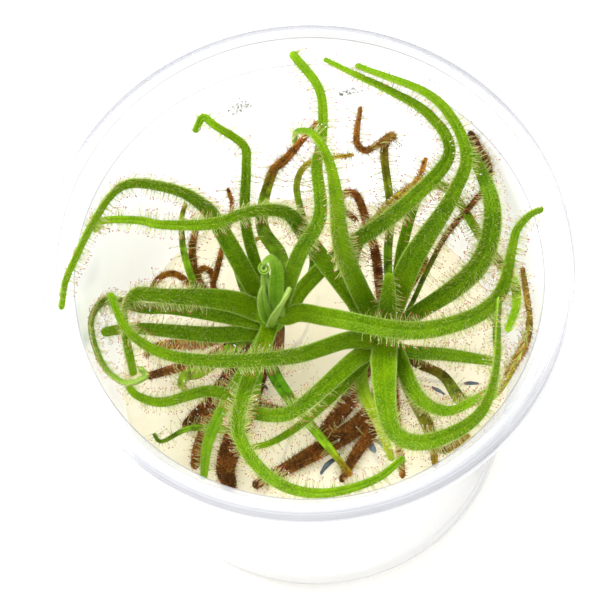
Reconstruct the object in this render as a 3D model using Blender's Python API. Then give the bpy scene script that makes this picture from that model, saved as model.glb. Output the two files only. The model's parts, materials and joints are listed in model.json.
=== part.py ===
# Two sundew plants in a clear plastic culture cup, rooted in a bed of clear gel. Metres, +Z up.
# The origin is under the middle of the cup. Lengths below are in millimetres and become metres in mm().
# Each leaf is a route of (x, y, height, width) points, from its stem to its tip.

import math
import random

import bmesh
import bpy
from mathutils import Quaternion, Vector
from mathutils.bvhtree import BVHTree
from mathutils.kdtree import KDTree

SEED = 7
GAP = 0.3                # clearance between pieces that rest on or in one another

# Cup: tapered wall, flat foot ring, and a stepped rim with a seat for a lid
CUP_HEIGHT = 80.0
RIM_RADIUS = 49.0
SKIRT_FLARE = 0.25       # how far the rim's outer skirt leans out at its lower edge
SKIRT_DROP = 5.1
LID_SEAT_RADIUS = 46.3
LID_SEAT_DROP = 6.5
MOUTH_RADIUS = 43.6
FLOOR_RADIUS = 37.2      # inner wall, carried down to the underside
WALL = 0.9
BASE_WALL = 1.2
FOOT_INNER_RADIUS = 31.0
FOOT_HEIGHT = 0.7        # rise of the underside inside the foot ring
CORNER = 3.0
CUP_SIDES = 56
SHARP = 35.0             # degrees between faces at a crisp edge

# Gel: fills the cup's floor, a little higher where it meets the wall
GEL_TOP = 21.6
GEL_MENISCUS = 0.5
GEL_SIDES = 40

# Stems: each stands in a plain hole in the gel and carries one rosette
STEMS = {"left": (-8.0, 5.5), "right": (14.0, 0.8)}
STEM_FOOT = 10.0
STEM_TOP = 37.3
STEM_RADIUS = 2.2
STEM_COLLAR = 2.7
HEART_FOOT = STEM_TOP + GAP
HEART_TOP = 43.6
HEART_RADIUS = 3.1
STEM_SIDES = 12
ROOTED = 1.2             # how far from the stem's axis a leaf begins

# Blades
THICKNESS = 0.9          # at the midrib
MARGIN = 0.6             # at the two edges
CHANNEL = 0.10           # depth of the groove along the upper face, as a share of the width
NARROWEST = 0.8
ROUTE_STEP = 0.6         # spacing of the points that a leaf's sections are chosen from
BEND_STEP = 26.0         # degrees of bend that call for one more section
LYING = GEL_TOP + 1.1    # the lowest that a leaf's middle lies

# Tentacles, true in size but far fewer than the real ones
TENTACLE_FOOT = 0.3
TENTACLE_START = 0.32    # share of the leaf, from its base, that is bare
TENTACLE_SWING = 0.35    # how far it may lean along the leaf
TENTACLE_SITES = [(-1, 0.45), (1, 0.45), (-1, 1.3), (1, 1.3)]   # side of the leaf, and rise
TENTACLE_CLEAR = 0.7
TENTACLE_LIFT = 0.6      # least distance from its tip to its own leaf, as a share of its length

# Both kinds of leaf: where they may be rooted, the spacing of their sections, the way that upper
# sides look, the turn in radians that a blade makes edgeways over its own width, and the length
# of its tentacles.
FRESH = {"roots": (39.0, 42.0), "step": 3.6, "face": Vector((0.0, -0.38, 0.93)), "edgeways": 0.35,
         "tentacle": 2.3}
WITHERED = {"roots": (31.0, 35.8), "step": 5.0, "face": Vector((0.0, 0.0, 1.0)), "edgeways": 0.9,
            "tentacle": 1.4}

LEFT_LEAVES = {
    "over_left_rim": [
        (-9.5, 8.5, 41, 3.2), (-13, 13.5, 49, 3.2), (-18, 19, 63, 2.7), (-20, 19, 68.5, 2.4),
        (-23.5, 19.5, 73, 2.2), (-32.5, 19, 78.5, 1.9), (-36, 16, 80, 1.7), (-44.5, -1.5, 82.5, 1.3),
        (-45.5, -6.5, 82.5, 1.2)],
    "back_high": [
        (-6, 6.5, 42, 2.8), (-1.5, 11, 58, 2.7), (3, 15, 67, 2.3), (3, 23.5, 71.5, 1.9),
        (4, 26.5, 73, 1.8), (4.5, 35.5, 78, 1.5), (0, 42.5, 80, 1.5)],
    "back_right_arch": [
        (-4.5, 7, 39, 2.8), (-2, 10.5, 40, 2.8), (5.5, 15, 46.5, 2.8), (20, 17, 66, 2.7),
        (28, 23.5, 73, 2.2), (25, 30, 75, 1.9), (6, 41.5, 79, 0.9)],
    "right_over_top": [
        (-4.5, 4.5, 42.5, 3.2), (-2, 4.5, 44, 3.2), (3.5, 2, 47, 3.2), (20.5, -4.5, 53.5, 3.1),
        (32, -4.5, 60.5, 2.8), (36, -2.5, 66.5, 2.3), (38, 2.5, 75, 1.6), (39, 5, 77, 1.5),
        (42, 7, 79.5, 1.3), (43.5, 7.5, 79.5, 1.2)],
    "left_upper": [
        (-10.5, 6.5, 42, 4.0), (-15.5, 7, 46.5, 3.8), (-26.5, 4.5, 57, 2.6), (-34.5, 2, 64, 2.3),
        (-35.5, -2.5, 64, 2.0), (-34.5, -10.5, 57, 1.4)],
    "left_loop": [
        (-10, 4.5, 40.5, 2.8), (-27, 5, 49.5, 2.0), (-32, 4.5, 52, 1.9), (-39, 3.5, 59.5, 1.7),
        (-41.5, -3.5, 66, 1.5), (-39, -14, 69.5, 1.4), (-34.5, -18.5, 72, 1.3), (-31, -17.5, 73, 1.3),
        (-32, -16, 72.5, 1.3)],
    "left_low": [
        (-10.5, 3.5, 39, 2.6), (-18, 2.5, 40.5, 2.8), (-35.5, 2.5, 47, 1.9), (-40, 1.5, 48.5, 1.6)],
    "front_loop": [
        (-8.5, 2.5, 41, 3.0), (-15, -26, 60.5, 2.3), (-8, -38, 66.5, 1.9), (-0.5, -41, 68.5, 1.6),
        (9.5, -40, 71.5, 1.3), (14.5, -37, 73, 1.1)],
    "back_left_arch": [
        (-8.5, 9.5, 40, 2.2), (-11.5, 20, 53.5, 1.9), (-10.5, 27, 65.5, 1.6), (-10.5, 29.5, 68.5, 1.5),
        (-16, 32.5, 73, 1.3), (-18, 34, 73.5, 1.3), (-19.5, 32, 72.5, 1.2)],
    "young": [
        (-8, 6, 41, 3.2), (-7, 8.5, 51, 3.7), (-7, 11, 53.5, 2.7), (-8, 12.5, 53, 2.1),
        (-8.5, 12, 51, 1.6)],
    "front_left_low": [(-10, 1.5, 39, 2.2), (-21.5, -17.5, 36, 1.9), (-23, -24.5, 34.5, 1.3)],
}
RIGHT_LEAVES = {
    "across_left": [
        (12, 2.5, 40, 3.2), (7, 8, 46, 3.2), (0.5, 15.5, 53.5, 2.9), (-3.5, 18, 62.5, 2.4),
        (-10.5, 16, 68.5, 2.1), (-17, 13, 71, 2.0), (-27.5, 13.5, 71, 1.5), (-31, 15, 70, 1.4),
        (-38.5, 15.5, 69.5, 1.2), (-39.5, 14, 69.5, 1.2)],
    "back_hook": [
        (11.5, 5, 42, 3.6), (7, 9.5, 60, 3.4), (6, 12.5, 67.5, 3.2), (6, 15, 73, 2.7),
        (5, 21, 78, 1.8), (2.5, 26, 79.5, 1.4), (-0.5, 27.5, 77.5, 1.3), (-1, 27, 75.5, 1.3)],
    "back_right_high": [
        (15.5, 3.5, 42, 3.8), (20, 9.5, 55, 4.0), (28.5, 16.5, 70.5, 2.5), (31, 21.5, 75.5, 2.1),
        (26.5, 31, 79, 1.8), (12, 39.5, 79.5, 1.2)],
    "right_fold": [
        (16.5, 2.5, 39, 2.6), (20.5, 3.5, 42, 2.8), (33, 6, 60, 3.5), (35.5, 13, 70, 2.9),
        (32, 26, 70, 1.4)],
    "left_over_top": [
        (12, -1.5, 42.5, 3.6), (7, -2, 45, 3.6), (-4.5, -7.5, 52, 2.7), (-22.5, -10, 60, 2.1),
        (-30.5, -9, 65, 1.7), (-35, -6, 69.5, 1.3), (-37, -1, 72.5, 1.2)],
    "front_left_wave": [
        (11, -2.5, 40, 3.2), (7, -6.5, 43.5, 3.1), (-3.5, -17.5, 50.5, 2.5), (-6.5, -19, 51, 2.4),
        (-12, -18, 50.5, 2.3), (-14.5, -15.5, 50, 2.2), (-20, -13, 50.5, 2.0), (-30, -16, 54.5, 1.6),
        (-34.5, -15, 57.5, 1.3), (-35.5, -13.5, 58.5, 1.2)],
    "front_left_thin": [
        (9, -6, 39.5, 1.8), (-3.5, -19, 45, 1.4), (-9.5, -22.5, 45.5, 1.1), (-13, -23, 45, 1.0)],
    "front_right_loop": [
        (14, -3, 41.5, 4.4), (13.5, -8, 45, 4.6), (14.5, -25.5, 54, 2.9), (19.5, -28.5, 57, 2.7),
        (29.5, -25.5, 61.5, 2.2), (33, -19, 64.5, 1.6), (35, -6, 69.5, 1.2)],
    "front_right": [(16, -3, 40, 2.8), (20, -17, 48, 2.4), (25, -21, 52, 1.9), (32, -20, 58, 1.4)],
    "front_low": [
        (9, -5.5, 39, 2.6), (9, -10.5, 39.5, 2.4), (11.5, -18.5, 41.5, 1.8), (13.5, -26, 42, 1.2)],
    "right_low": [(16.5, -2.5, 39, 2.4), (26.5, -5.5, 41.5, 2.2), (34.5, -8.5, 44.5, 1.6)],
    "right_turn": [
        (18, 0.5, 39, 2.0), (25, -0.5, 42.5, 2.0), (34.5, -1, 51, 1.9), (35, -9, 55.5, 1.6),
        (33, -21.5, 60, 1.2)],
    "right_arch": [
        (16.5, 7, 40, 2.0), (19, 15.5, 51, 1.9), (23, 22.5, 58, 1.7), (26, 23, 59.5, 1.7),
        (28.5, 21, 60, 1.6), (34.5, 10, 58, 1.6), (38.5, -0.5, 64.5, 1.7), (38.5, -6, 67.5, 1.6),
        (36, -13, 72, 1.2)],
    "short": [(14.5, 2.5, 43.5, 3.0), (15, 3.5, 47.5, 3.1), (15.5, 7, 53.5, 1.6)],
}
LEFT_OLD = {
    "back_brown": [
        (-7, 9.5, 35.5, 2.6), (-5, 15, 37, 3.1), (-5.5, 19, 39.5, 3.1), (-8.5, 23.5, 44.5, 2.6),
        (-5.5, 30.5, 54.5, 1.8), (-3, 31, 58.5, 1.7), (3.5, 33.5, 68.5, 0.9)],
    "back_thin": [
        (-3, 11, 35, 1.4), (1, 17, 37, 1.4), (-1, 28.5, 52.5, 1.3), (1.5, 31, 56, 1.2),
        (10, 30, 60.5, 0.8)],
    "left_pale": [
        (-11, 8.5, 35.5, 1.6), (-21, 11.5, 38.5, 1.8), (-24, 17, 45.5, 1.5), (-24, 23, 52, 1.1),
        (-23, 24.5, 54.5, 1.0)],
    "left_dark": [
        (-10.5, 9, 35, 1.6), (-19.5, 12, 37.5, 1.7), (-22, 14.5, 40, 1.7), (-22.5, 19.5, 46, 1.5),
        (-21.5, 21.5, 49, 1.2)],
    "left_bow": [
        (-11.5, 8, 34.5, 1.4), (-22, 13, 35.5, 1.4), (-24.5, 16, 37, 1.4), (-27, 17, 38.5, 1.3),
        (-29.5, 16, 39, 1.2), (-31, 14.5, 38.5, 1.1)],
    "left_curl": [
        (-11.5, 9.5, 34.5, 1.4), (-20.5, 14, 34.5, 1.6), (-22, 16.5, 36.5, 1.4), (-21, 18.5, 36.5, 1.3),
        (-19.5, 18, 36, 1.3), (-19, 17, 35, 1.2)],
    "left_wisp": [
        (-10.5, 10, 35, 1.1), (-15.5, 12.5, 34.5, 1.2), (-19, 14.5, 35.5, 1.2), (-18, 17.5, 38, 1.2),
        (-14, 26, 49.5, 0.8), (-14.5, 28, 52.5, 0.8)],
    "left_stub": [(-10, 10, 35.5, 1.8), (-12.5, 12.5, 36, 1.8), (-15, 20, 43, 1.4)],
    "front_yellow": [
        (-9, 3.5, 35, 2.2), (-9, 0, 33, 2.5), (-7.5, -4.5, 31.5, 2.6), (5.5, -23, 25.5, 1.2)],
    "front_dark": [
        (-10, 3.5, 34, 1.6), (-13, -3.5, 24.5, 1.8), (-12, -5.5, 22.5, 1.8), (-6, -8, 22.5, 1.4)],
    "left_flat": [(-11, 6, 33.5, 2.2), (-19.5, 2, 30, 2.4), (-33, 1, 24.5, 1.6)],
    "front_left_broad": [(-10.5, 4, 33, 2.8), (-21, -5, 23, 3.3), (-26, -9.5, 22.5, 2.4)],
    "front_left_brown": [
        (-10, 3, 32.5, 1.6), (-13.5, -0.5, 26.5, 2.0), (-17, -4.5, 23, 2.2), (-21, -8, 22.5, 2.2),
        (-24.5, -15, 22.5, 2.0), (-25, -18, 22.5, 1.8)],
    "front_mat": [
        (-9, 3, 32, 2.2), (-11, -1.5, 26, 2.8), (-13.5, -6, 22.5, 3.7), (-16, -11, 22.5, 4.4),
        (-19, -19.5, 22.5, 3.8), (-18.5, -22.5, 22.5, 3.0)],
    "left_under": [
        (-11, 7.5, 33, 2.0), (-21.5, 5.5, 28.5, 2.2), (-31, 7, 25, 1.7), (-33.5, 6, 23.5, 1.4)],
    "left_olive": [
        (-11, 4.5, 34.5, 2.2), (-15.5, 2, 34.5, 2.6), (-22.5, -2, 32.5, 2.7), (-25.5, -2, 31, 2.3),
        (-26.5, -3, 29, 1.8), (-25.5, -4, 27, 1.2)],
    "front_left_whip": [
        (-9.5, 2.5, 34.5, 1.6), (-15, -12.5, 29, 2.0), (-25.5, -12.5, 29, 1.2), (-31.5, -14.5, 28, 0.8),
        (-32.5, -13, 28, 0.8)],
}
RIGHT_OLD = {
    "back_hooked": [
        (15.5, 7, 35.5, 1.6), (16, 16.5, 44, 1.7), (17, 22, 48.5, 1.6), (16.5, 32, 59.5, 1.6),
        (18, 33, 62, 1.6), (12.5, 28.5, 65.5, 1.3), (11, 29.5, 66.5, 1.3), (12, 35, 70.5, 0.8)],
    "back_tipped": [
        (8, 9, 35.5, 1.6), (9, 15, 41, 1.7), (11, 18, 47.5, 1.8), (17, 21.5, 56, 1.5),
        (22.5, 24, 60.5, 1.2), (24, 27, 62.5, 0.9)],
    "back_noose": [
        (14.5, 6, 35, 1.6), (14, 9.5, 36.5, 1.7), (13.5, 16.5, 43, 1.8), (12.5, 20.5, 45, 1.7),
        (10, 25.5, 52.5, 1.5), (8, 25.5, 52.5, 1.5), (7, 24, 51, 1.4), (10, 23, 45.5, 1.0)],
    "right_nub": [
        (17.5, 7.5, 35, 1.2), (20, 11.5, 35.5, 1.2), (23.5, 16.5, 37.5, 1.0), (23, 18.5, 38, 0.9)],
    "right_wall": [
        (17.5, -1, 34.5, 1.8), (19.5, -3, 33, 1.9), (25, -6.5, 33, 2.0), (28.5, -14.5, 39, 2.6),
        (33.5, -17, 47.5, 1.9), (37.5, -15, 58.5, 2.7), (40, -12.5, 71.5, 1.2), (39.5, -3, 76.5, 0.8)],
    "front_olive": [
        (16.5, -3.5, 34.5, 2.0), (18, -9, 34, 2.2), (21.5, -20, 36, 1.8), (22, -26.5, 37.5, 1.2)],
    "front_stub": [(14.5, -3, 35, 1.8), (15, -8, 34, 2.0), (15.5, -28, 37, 1.2)],
    "mat_short": [(12, -1, 34, 2.4), (7, -6.5, 23.5, 3.6), (1, -13, 22.5, 2.6)],
    "mat_long": [
        (13.5, -1, 33.5, 2.4), (13.5, -4.5, 28.5, 3.0), (9, -11, 22.5, 3.8), (1, -16, 22.5, 3.5),
        (-13, -23, 22.5, 1.8)],
    "mat_front": [
        (15, -1.5, 33, 2.0), (15, -6.5, 27, 2.5), (13, -10.5, 23, 2.6), (7, -18, 22.5, 2.2),
        (4, -23, 22.5, 1.4)],
}
# Degrees that a blade has rolled towards its left edge by the tip
ROLL = {"front_right_loop": 75, "back_right_high": 60, "back_right_arch": 55, "right_over_top": 40,
        "over_left_rim": -40, "front_loop": 20, "left_loop": -45, "back_hook": 30}

GREEN = (0.12, 0.29, 0.01)
BROWN = (0.12, 0.05, 0.015)
CLEAR = (0.93, 0.95, 0.97)
CREAM = (0.86, 0.84, 0.66)


def mm(value):
    return value * 0.001


def material(name, colour, roughness, alpha=1.0):
    made = bpy.data.materials.new(name)
    made.use_nodes = True
    shader = made.node_tree.nodes["Principled BSDF"]
    shader.inputs["Base Color"].default_value = (*colour, 1.0)
    shader.inputs["Roughness"].default_value = roughness
    shader.inputs["Metallic"].default_value = 0.0
    shader.inputs["Alpha"].default_value = alpha
    return made


def object_of(bm, name, finish):
    bmesh.ops.recalc_face_normals(bm, faces=bm.faces)
    mesh = bpy.data.meshes.new(name)
    bm.to_mesh(mesh)
    bm.free()
    mesh.shade_smooth()
    mesh.set_sharp_from_angle(angle=math.radians(SHARP))
    mesh.materials.append(finish)
    made = bpy.data.objects.new(name, mesh)
    bpy.context.scene.collection.objects.link(made)
    return made


def lathe(profile, sides, centre=(0.0, 0.0)):
    """A closed body turned round the vertical through centre, from (radius, height) points that
    start and end on it."""
    bm = bmesh.new()
    rings = []
    for radius, height in profile:
        count = sides if radius > 0 else 1
        rings.append([
            bm.verts.new((mm(centre[0] + radius * math.cos(2 * math.pi * i / sides)),
                          mm(centre[1] + radius * math.sin(2 * math.pi * i / sides)), mm(height)))
            for i in range(count)])
    for low, high in zip(rings, rings[1:]):
        for i in range(sides):
            j = i + 1
            corners = [low[i % len(low)], low[j % len(low)], high[j % len(high)], high[i % len(high)]]
            distinct = list(dict.fromkeys(corners))
            if len(distinct) > 2:
                bm.faces.new(distinct)
    return bm


def inner_wall(height):
    """The cup's inner radius at a height."""
    mouth = CUP_HEIGHT - LID_SEAT_DROP
    return FLOOR_RADIUS + (MOUTH_RADIUS - FLOOR_RADIUS) * height / mouth


def arc(centre_r, centre_z, radius, start, end, steps):
    turn = [math.radians(start + (end - start) * i / steps) for i in range(steps + 1)]
    return [(centre_r + radius * math.cos(a), centre_z + radius * math.sin(a)) for a in turn]


def cup():
    seat = CUP_HEIGHT - LID_SEAT_DROP
    outer_low = inner_wall(CORNER) + WALL
    inside_corner = CORNER - WALL
    floor = FOOT_HEIGHT + BASE_WALL
    profile = [(0.0, FOOT_HEIGHT), (FOOT_INNER_RADIUS - 0.7, FOOT_HEIGHT), (FOOT_INNER_RADIUS, 0.0)]
    profile += arc(outer_low - CORNER, CORNER, CORNER, -90, 0, 3)
    profile += [
        (inner_wall(seat) + WALL, seat - WALL),
        (LID_SEAT_RADIUS + WALL, seat - WALL),
        (LID_SEAT_RADIUS + WALL, CUP_HEIGHT - WALL),
        (RIM_RADIUS - WALL, CUP_HEIGHT - WALL),
        (RIM_RADIUS + SKIRT_FLARE - WALL, CUP_HEIGHT - SKIRT_DROP),
        (RIM_RADIUS + SKIRT_FLARE, CUP_HEIGHT - SKIRT_DROP),
        (RIM_RADIUS, CUP_HEIGHT - 0.5),
        (RIM_RADIUS - 0.5, CUP_HEIGHT),
        (LID_SEAT_RADIUS + 0.4, CUP_HEIGHT),
        (LID_SEAT_RADIUS, CUP_HEIGHT - 0.5),
        (LID_SEAT_RADIUS, seat),
        (MOUTH_RADIUS, seat),
    ]
    turn = floor + inside_corner
    profile += arc(inner_wall(turn) - inside_corner, turn, inside_corner, 0, -90, 3)
    profile += [(0.0, floor)]
    object_of(lathe(profile, CUP_SIDES), "cup", material("clear polypropylene", CLEAR, 0.08, 0.25))


def gel():
    floor = FOOT_HEIGHT + BASE_WALL + GAP
    corner = CORNER - WALL
    rim = inner_wall(GEL_TOP) - GAP
    profile = [(0.0, floor)]
    profile += arc(inner_wall(floor + corner) - corner - GAP, floor + corner, corner, -90, 0, 3)
    profile += [(rim, GEL_TOP + GEL_MENISCUS), (rim - 1.2, GEL_TOP), (0.0, GEL_TOP)]
    body = object_of(lathe(profile, GEL_SIDES), "gel", material("nutrient gel", CREAM, 0.2, 0.5))
    for side, centre in STEMS.items():
        radius = STEM_RADIUS + GAP
        top = GEL_TOP + 5
        hole = [(0.0, STEM_FOOT - GAP), (radius, STEM_FOOT - GAP), (radius, top), (0.0, top)]
        cutter = object_of(lathe(hole, STEM_SIDES, centre), "hole_" + side, None)
        combine(body, [cutter], "DIFFERENCE")


def combine(body, others, operation):
    """Joins the others to the body, or cuts them from it, and removes them."""
    group = bpy.data.collections.new("joined")
    bpy.context.scene.collection.children.link(group)
    for other in others:
        bpy.context.scene.collection.objects.unlink(other)
        group.objects.link(other)
    step = body.modifiers.new("join", "BOOLEAN")
    step.operation = operation
    step.operand_type = "COLLECTION"
    step.collection = group
    step.solver = "EXACT"
    graph = bpy.context.evaluated_depsgraph_get()
    joined = bpy.data.meshes.new_from_object(body.evaluated_get(graph))
    body.modifiers.remove(step)
    body.data = joined
    for other in others:
        bpy.data.objects.remove(other)
    bpy.data.collections.remove(group)


def shell_of(vert):
    shell = {vert}
    waiting = [vert]
    while waiting:
        for edge in waiting.pop().link_edges:
            for end in edge.verts:
                if end not in shell:
                    shell.add(end)
                    waiting.append(end)
    return shell


def keep_outer_shell(body):
    """Drops any pocket that joining has sealed, and any loose scrap."""
    bm = bmesh.new()
    bm.from_mesh(body.data)
    shells = []
    left = set(bm.verts)
    while left:
        shells.append(shell_of(next(iter(left))))
        left -= shells[-1]
    outer = max(shells, key=len)
    bmesh.ops.delete(bm, geom=[v for v in bm.verts if v not in outer], context="VERTS")
    bmesh.ops.triangulate(bm, faces=bm.faces)
    bm.to_mesh(body.data)
    bm.free()


def between(a, b, t):
    return a + (b - a) * t


def smooth_route(points):
    """Closely spaced points, with their widths, on one smooth curve through all the given ones."""
    ends = [points[0] * 2 - points[1], *points, points[-1] * 2 - points[-2]]
    route = []
    for span in zip(ends, ends[1:], ends[2:], ends[3:]):
        knots = [0.0]
        for a, b in zip(span, span[1:]):
            knots.append(knots[-1] + math.sqrt((b - a).length))
        steps = max(2, round((span[2] - span[1]).length / ROUTE_STEP))
        for i in range(steps):
            t = between(knots[1], knots[2], i / steps)
            level = span
            for reach in (1, 2):
                level = [
                    between(level[j], level[j + 1], (t - knots[j]) / (knots[j + reach] - knots[j]))
                    for j in range(len(level) - 1)]
            route.append(between(*level, i / steps))
    route.append(points[-1])
    for point in route:
        point.z = max(point.z, LYING)
    return route


def rooted(points, side, low, high):
    """The leaf's points, with the first of them inside the stem or the rosette's heart."""
    centre = Vector(STEMS[side])
    points = [Vector(point) for point in points]
    base = points[0]
    height = min(max(base.z, low), high)
    if (base.xy - centre).length < 2 * ROOTED:
        base.z = height
        return points
    out = (base.xy - centre).normalized() * ROOTED
    return [Vector((*(centre + out), height, base.w)), *points]


def across(vector, direction):
    """The part of a vector that is square to a direction."""
    return vector - direction * vector.dot(direction)


class Leaf:
    """Sections along one leaf: each has a place, a direction, an upward normal and a width."""

    def __init__(self, name, points, kind):
        self.name = name
        self.kind = kind
        step = kind["step"]
        route = smooth_route(points)
        places = [p.xyz for p in route]
        ways = [(b - a).normalized() for a, b in zip(places[:1] + places[:-1], places[1:] + places[-1:])]
        chosen = [0]
        travelled = 0.0
        for i in range(1, len(route)):
            travelled += (places[i] - places[i - 1]).length
            bend = math.degrees(ways[i].angle(ways[chosen[-1]]))
            last = i == len(route) - 1
            if last or travelled > step or (bend > BEND_STEP and travelled > step / 3):
                chosen.append(i)
                travelled = 0.0
        if (places[chosen[-1]] - places[chosen[-2]]).length < step / 4:
            chosen.pop(-2)
        self.places = [places[i] for i in chosen]
        self.ways = [ways[i] for i in chosen]
        self.widths = [max(route[i].w, NARROWEST) for i in chosen]
        self.length = [0.0]
        for a, b in zip(self.places, self.places[1:]):
            self.length.append(self.length[-1] + (b - a).length)
        self.ups = self.normals(kind["face"], kind["edgeways"])

    def normals(self, face, edgeways):
        """Upper sides look as face does, but lie square to a tight bend, as a flat leaf has to."""
        ups = []
        carried = face.copy()
        for i, way in enumerate(self.ways):
            turn = self.ways[min(i + 1, len(self.ways) - 1)] - self.ways[max(i - 1, 0)]
            span = self.length[min(i + 1, len(self.ways) - 1)] - self.length[max(i - 1, 0)]
            sharpness = turn.length / span * self.widths[i]
            bend = turn.normalized() * min(max((sharpness - edgeways) * 4, 0.0), 3.0)
            if bend.dot(carried) < 0:
                bend = -bend
            up = across(carried + face * 0.35 + bend, way).normalized()
            ups.append(up)
            carried = up
        roll = math.radians(ROLL.get(self.name, 0))
        share = [distance / self.length[-1] for distance in self.length]
        return [Quaternion(way, roll * s) @ up for way, up, s in zip(self.ways, ups, share)]

    def section(self, i):
        """Left edge, midrib and right edge above, then the same below from right to left."""
        half = self.widths[i] / 2
        side = self.ways[i].cross(self.ups[i])
        lift = self.widths[i] * CHANNEL
        flat = [(-half, lift + MARGIN / 2), (0, THICKNESS / 2), (half, lift + MARGIN / 2),
                (half, lift - MARGIN / 2), (0, -THICKNESS / 2), (-half, lift - MARGIN / 2)]
        return [self.places[i] + side * s + self.ups[i] * u for s, u in flat]


def raise_tentacle(bm, face, reach):
    """Draws a triangle in to a small foot, and its middle out to a point."""
    foot = bmesh.ops.extrude_discrete_faces(bm, faces=[face])["faces"][0]
    corners = [loop.vert for loop in foot.loops]
    a, b, c = (corner.co.copy() for corner in corners)
    weights = [(c - b).length, (a - c).length, (b - a).length]
    centre = (a * weights[0] + b * weights[1] + c * weights[2]) / sum(weights)
    room = 2 * foot.calc_area() / sum(weights)
    radius = min(mm(TENTACLE_FOOT), room * 0.9)
    along = (b - a).normalized()
    inward = foot.normal.cross(along)
    for i, corner in enumerate(corners):
        angle = math.radians(120 * i - 150)
        corner.co = centre + (along * math.cos(angle) + inward * math.sin(angle)) * radius
    tip = bmesh.ops.poke(bm, faces=[foot])["verts"][0]
    tip.co = centre + reach


class Crowd:
    """Where every leaf and tentacle is, so that a new tentacle can keep clear."""

    def __init__(self, leaves):
        self.points = []
        for leaf in leaves:
            for i in range(len(leaf.places) - 1):
                for t in (0.0, 0.5):
                    place = leaf.places[i].lerp(leaf.places[i + 1], t)
                    self.points.append((place, leaf.name, leaf.widths[i] * 0.4))
        self.tree = KDTree(len(self.points))
        for i, (place, *_) in enumerate(self.points):
            self.tree.insert(place, i)
        self.tree.balance()
        self.tips = []

    def is_clear(self, leaf, foot, tip):
        for share in (0.4, 0.7, 1.0):
            place = foot.lerp(tip, share)
            if place.z < GEL_TOP + GEL_MENISCUS + TENTACLE_CLEAR:
                return False
            if place.xy.length > free_radius(place.z) - TENTACLE_CLEAR:
                return False
            for _, i, away in self.tree.find_range(place, 3.5):
                _, name, half = self.points[i]
                if name != leaf.name and away < half + TENTACLE_CLEAR:
                    return False
            if any((place - other).length < TENTACLE_CLEAR for other in self.tips):
                return False
        self.tips += [foot.lerp(tip, 0.6), tip]
        return True


def free_radius(height):
    """How far out the cup's inside reaches at a height."""
    return inner_wall(height) if height < CUP_HEIGHT - LID_SEAT_DROP else LID_SEAT_RADIUS


def blade(leaf, crowd):
    """One leaf's closed body, with its tentacles raised from its edges and its upper face."""
    bm = bmesh.new()
    rings = [[bm.verts.new(mm(co)) for co in leaf.section(i)] for i in range(len(leaf.places))]
    bm.faces.new(rings[0])
    sites = []
    for i, (a, b) in enumerate(zip(rings, rings[1:])):
        upper = [bm.faces.new((a[0], b[0], b[1])), bm.faces.new((a[0], b[1], a[1])),
                 bm.faces.new((a[1], b[1], a[2])), bm.faces.new((a[2], b[1], b[2]))]
        right = bm.faces.new((a[2], b[2], b[3]))
        bm.faces.new((a[2], b[3], a[3]))
        bm.faces.new((a[3], b[3], b[4]))
        bm.faces.new((a[3], b[4], a[4]))
        bm.faces.new((a[4], b[4], a[5]))
        bm.faces.new((a[5], b[4], b[5]))
        left = bm.faces.new((a[0], b[5], b[0]))
        bm.faces.new((a[0], a[5], b[5]))
        sites.append((left, right, upper[0], upper[3]))
    tip = bm.verts.new(mm(leaf.places[-1] + leaf.ways[-1] * leaf.widths[-1] * 0.5))
    for first, second in zip(rings[-1], rings[-1][1:] + rings[-1][:1]):
        bm.faces.new((first, tip, second))
    bm.normal_update()
    bare = BVHTree.FromBMesh(bm)
    turn = 0
    for i in range(len(sites)):
        if leaf.length[i] < leaf.length[-1] * TENTACLE_START:
            continue
        for attempt in TENTACLE_SITES[:2]:
            turn = (turn + 1) % len(TENTACLE_SITES)
            side, rise = TENTACLE_SITES[turn]
            swing = random.uniform(-TENTACLE_SWING, TENTACLE_SWING)
            reach = leaf.ways[i].cross(leaf.ups[i]) * side + leaf.ups[i] * rise + leaf.ways[i] * swing
            reach = reach.normalized() * leaf.kind["tentacle"] * random.uniform(0.85, 1.1)
            foot = sites[i][turn].calc_center_median() * 1000
            away = bare.find_nearest(mm(foot + reach))[3]
            if away > mm(reach.length) * TENTACLE_LIFT and crowd.is_clear(leaf, foot, foot + reach):
                raise_tentacle(bm, sites[i][turn], mm(reach))
                break
    bmesh.ops.triangulate(bm, faces=bm.faces)
    return object_of(bm, leaf.name, None)


def leaves(routes, side, kind):
    return [Leaf(name, rooted(points, side, *kind["roots"]), kind) for name, points in routes.items()]


def heart(centre):
    """The knob of tissue that a rosette's green leaves grow from."""
    profile = [(0.0, HEART_FOOT), (HEART_RADIUS * 0.7, HEART_FOOT), (HEART_RADIUS, HEART_FOOT + 1.6),
               (HEART_RADIUS * 0.8, HEART_TOP - 1.5), (0.0, HEART_TOP)]
    return lathe(profile, STEM_SIDES, centre)


def stalk(centre):
    profile = [(0.0, STEM_FOOT), (STEM_RADIUS * 0.4, STEM_FOOT), (STEM_RADIUS, STEM_FOOT + 3),
               (STEM_RADIUS, GEL_TOP + 1.5), (STEM_COLLAR, STEM_TOP - 3), (STEM_RADIUS, STEM_TOP),
               (0.0, STEM_TOP)]
    return lathe(profile, STEM_SIDES, centre)


def bush(name, core, grown, crowd, finish):
    """One body of a core and all the leaves that grow from it."""
    body = object_of(core, name, finish)
    combine(body, [blade(leaf, crowd) for leaf in grown], "UNION")
    keep_outer_shell(body)


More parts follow.
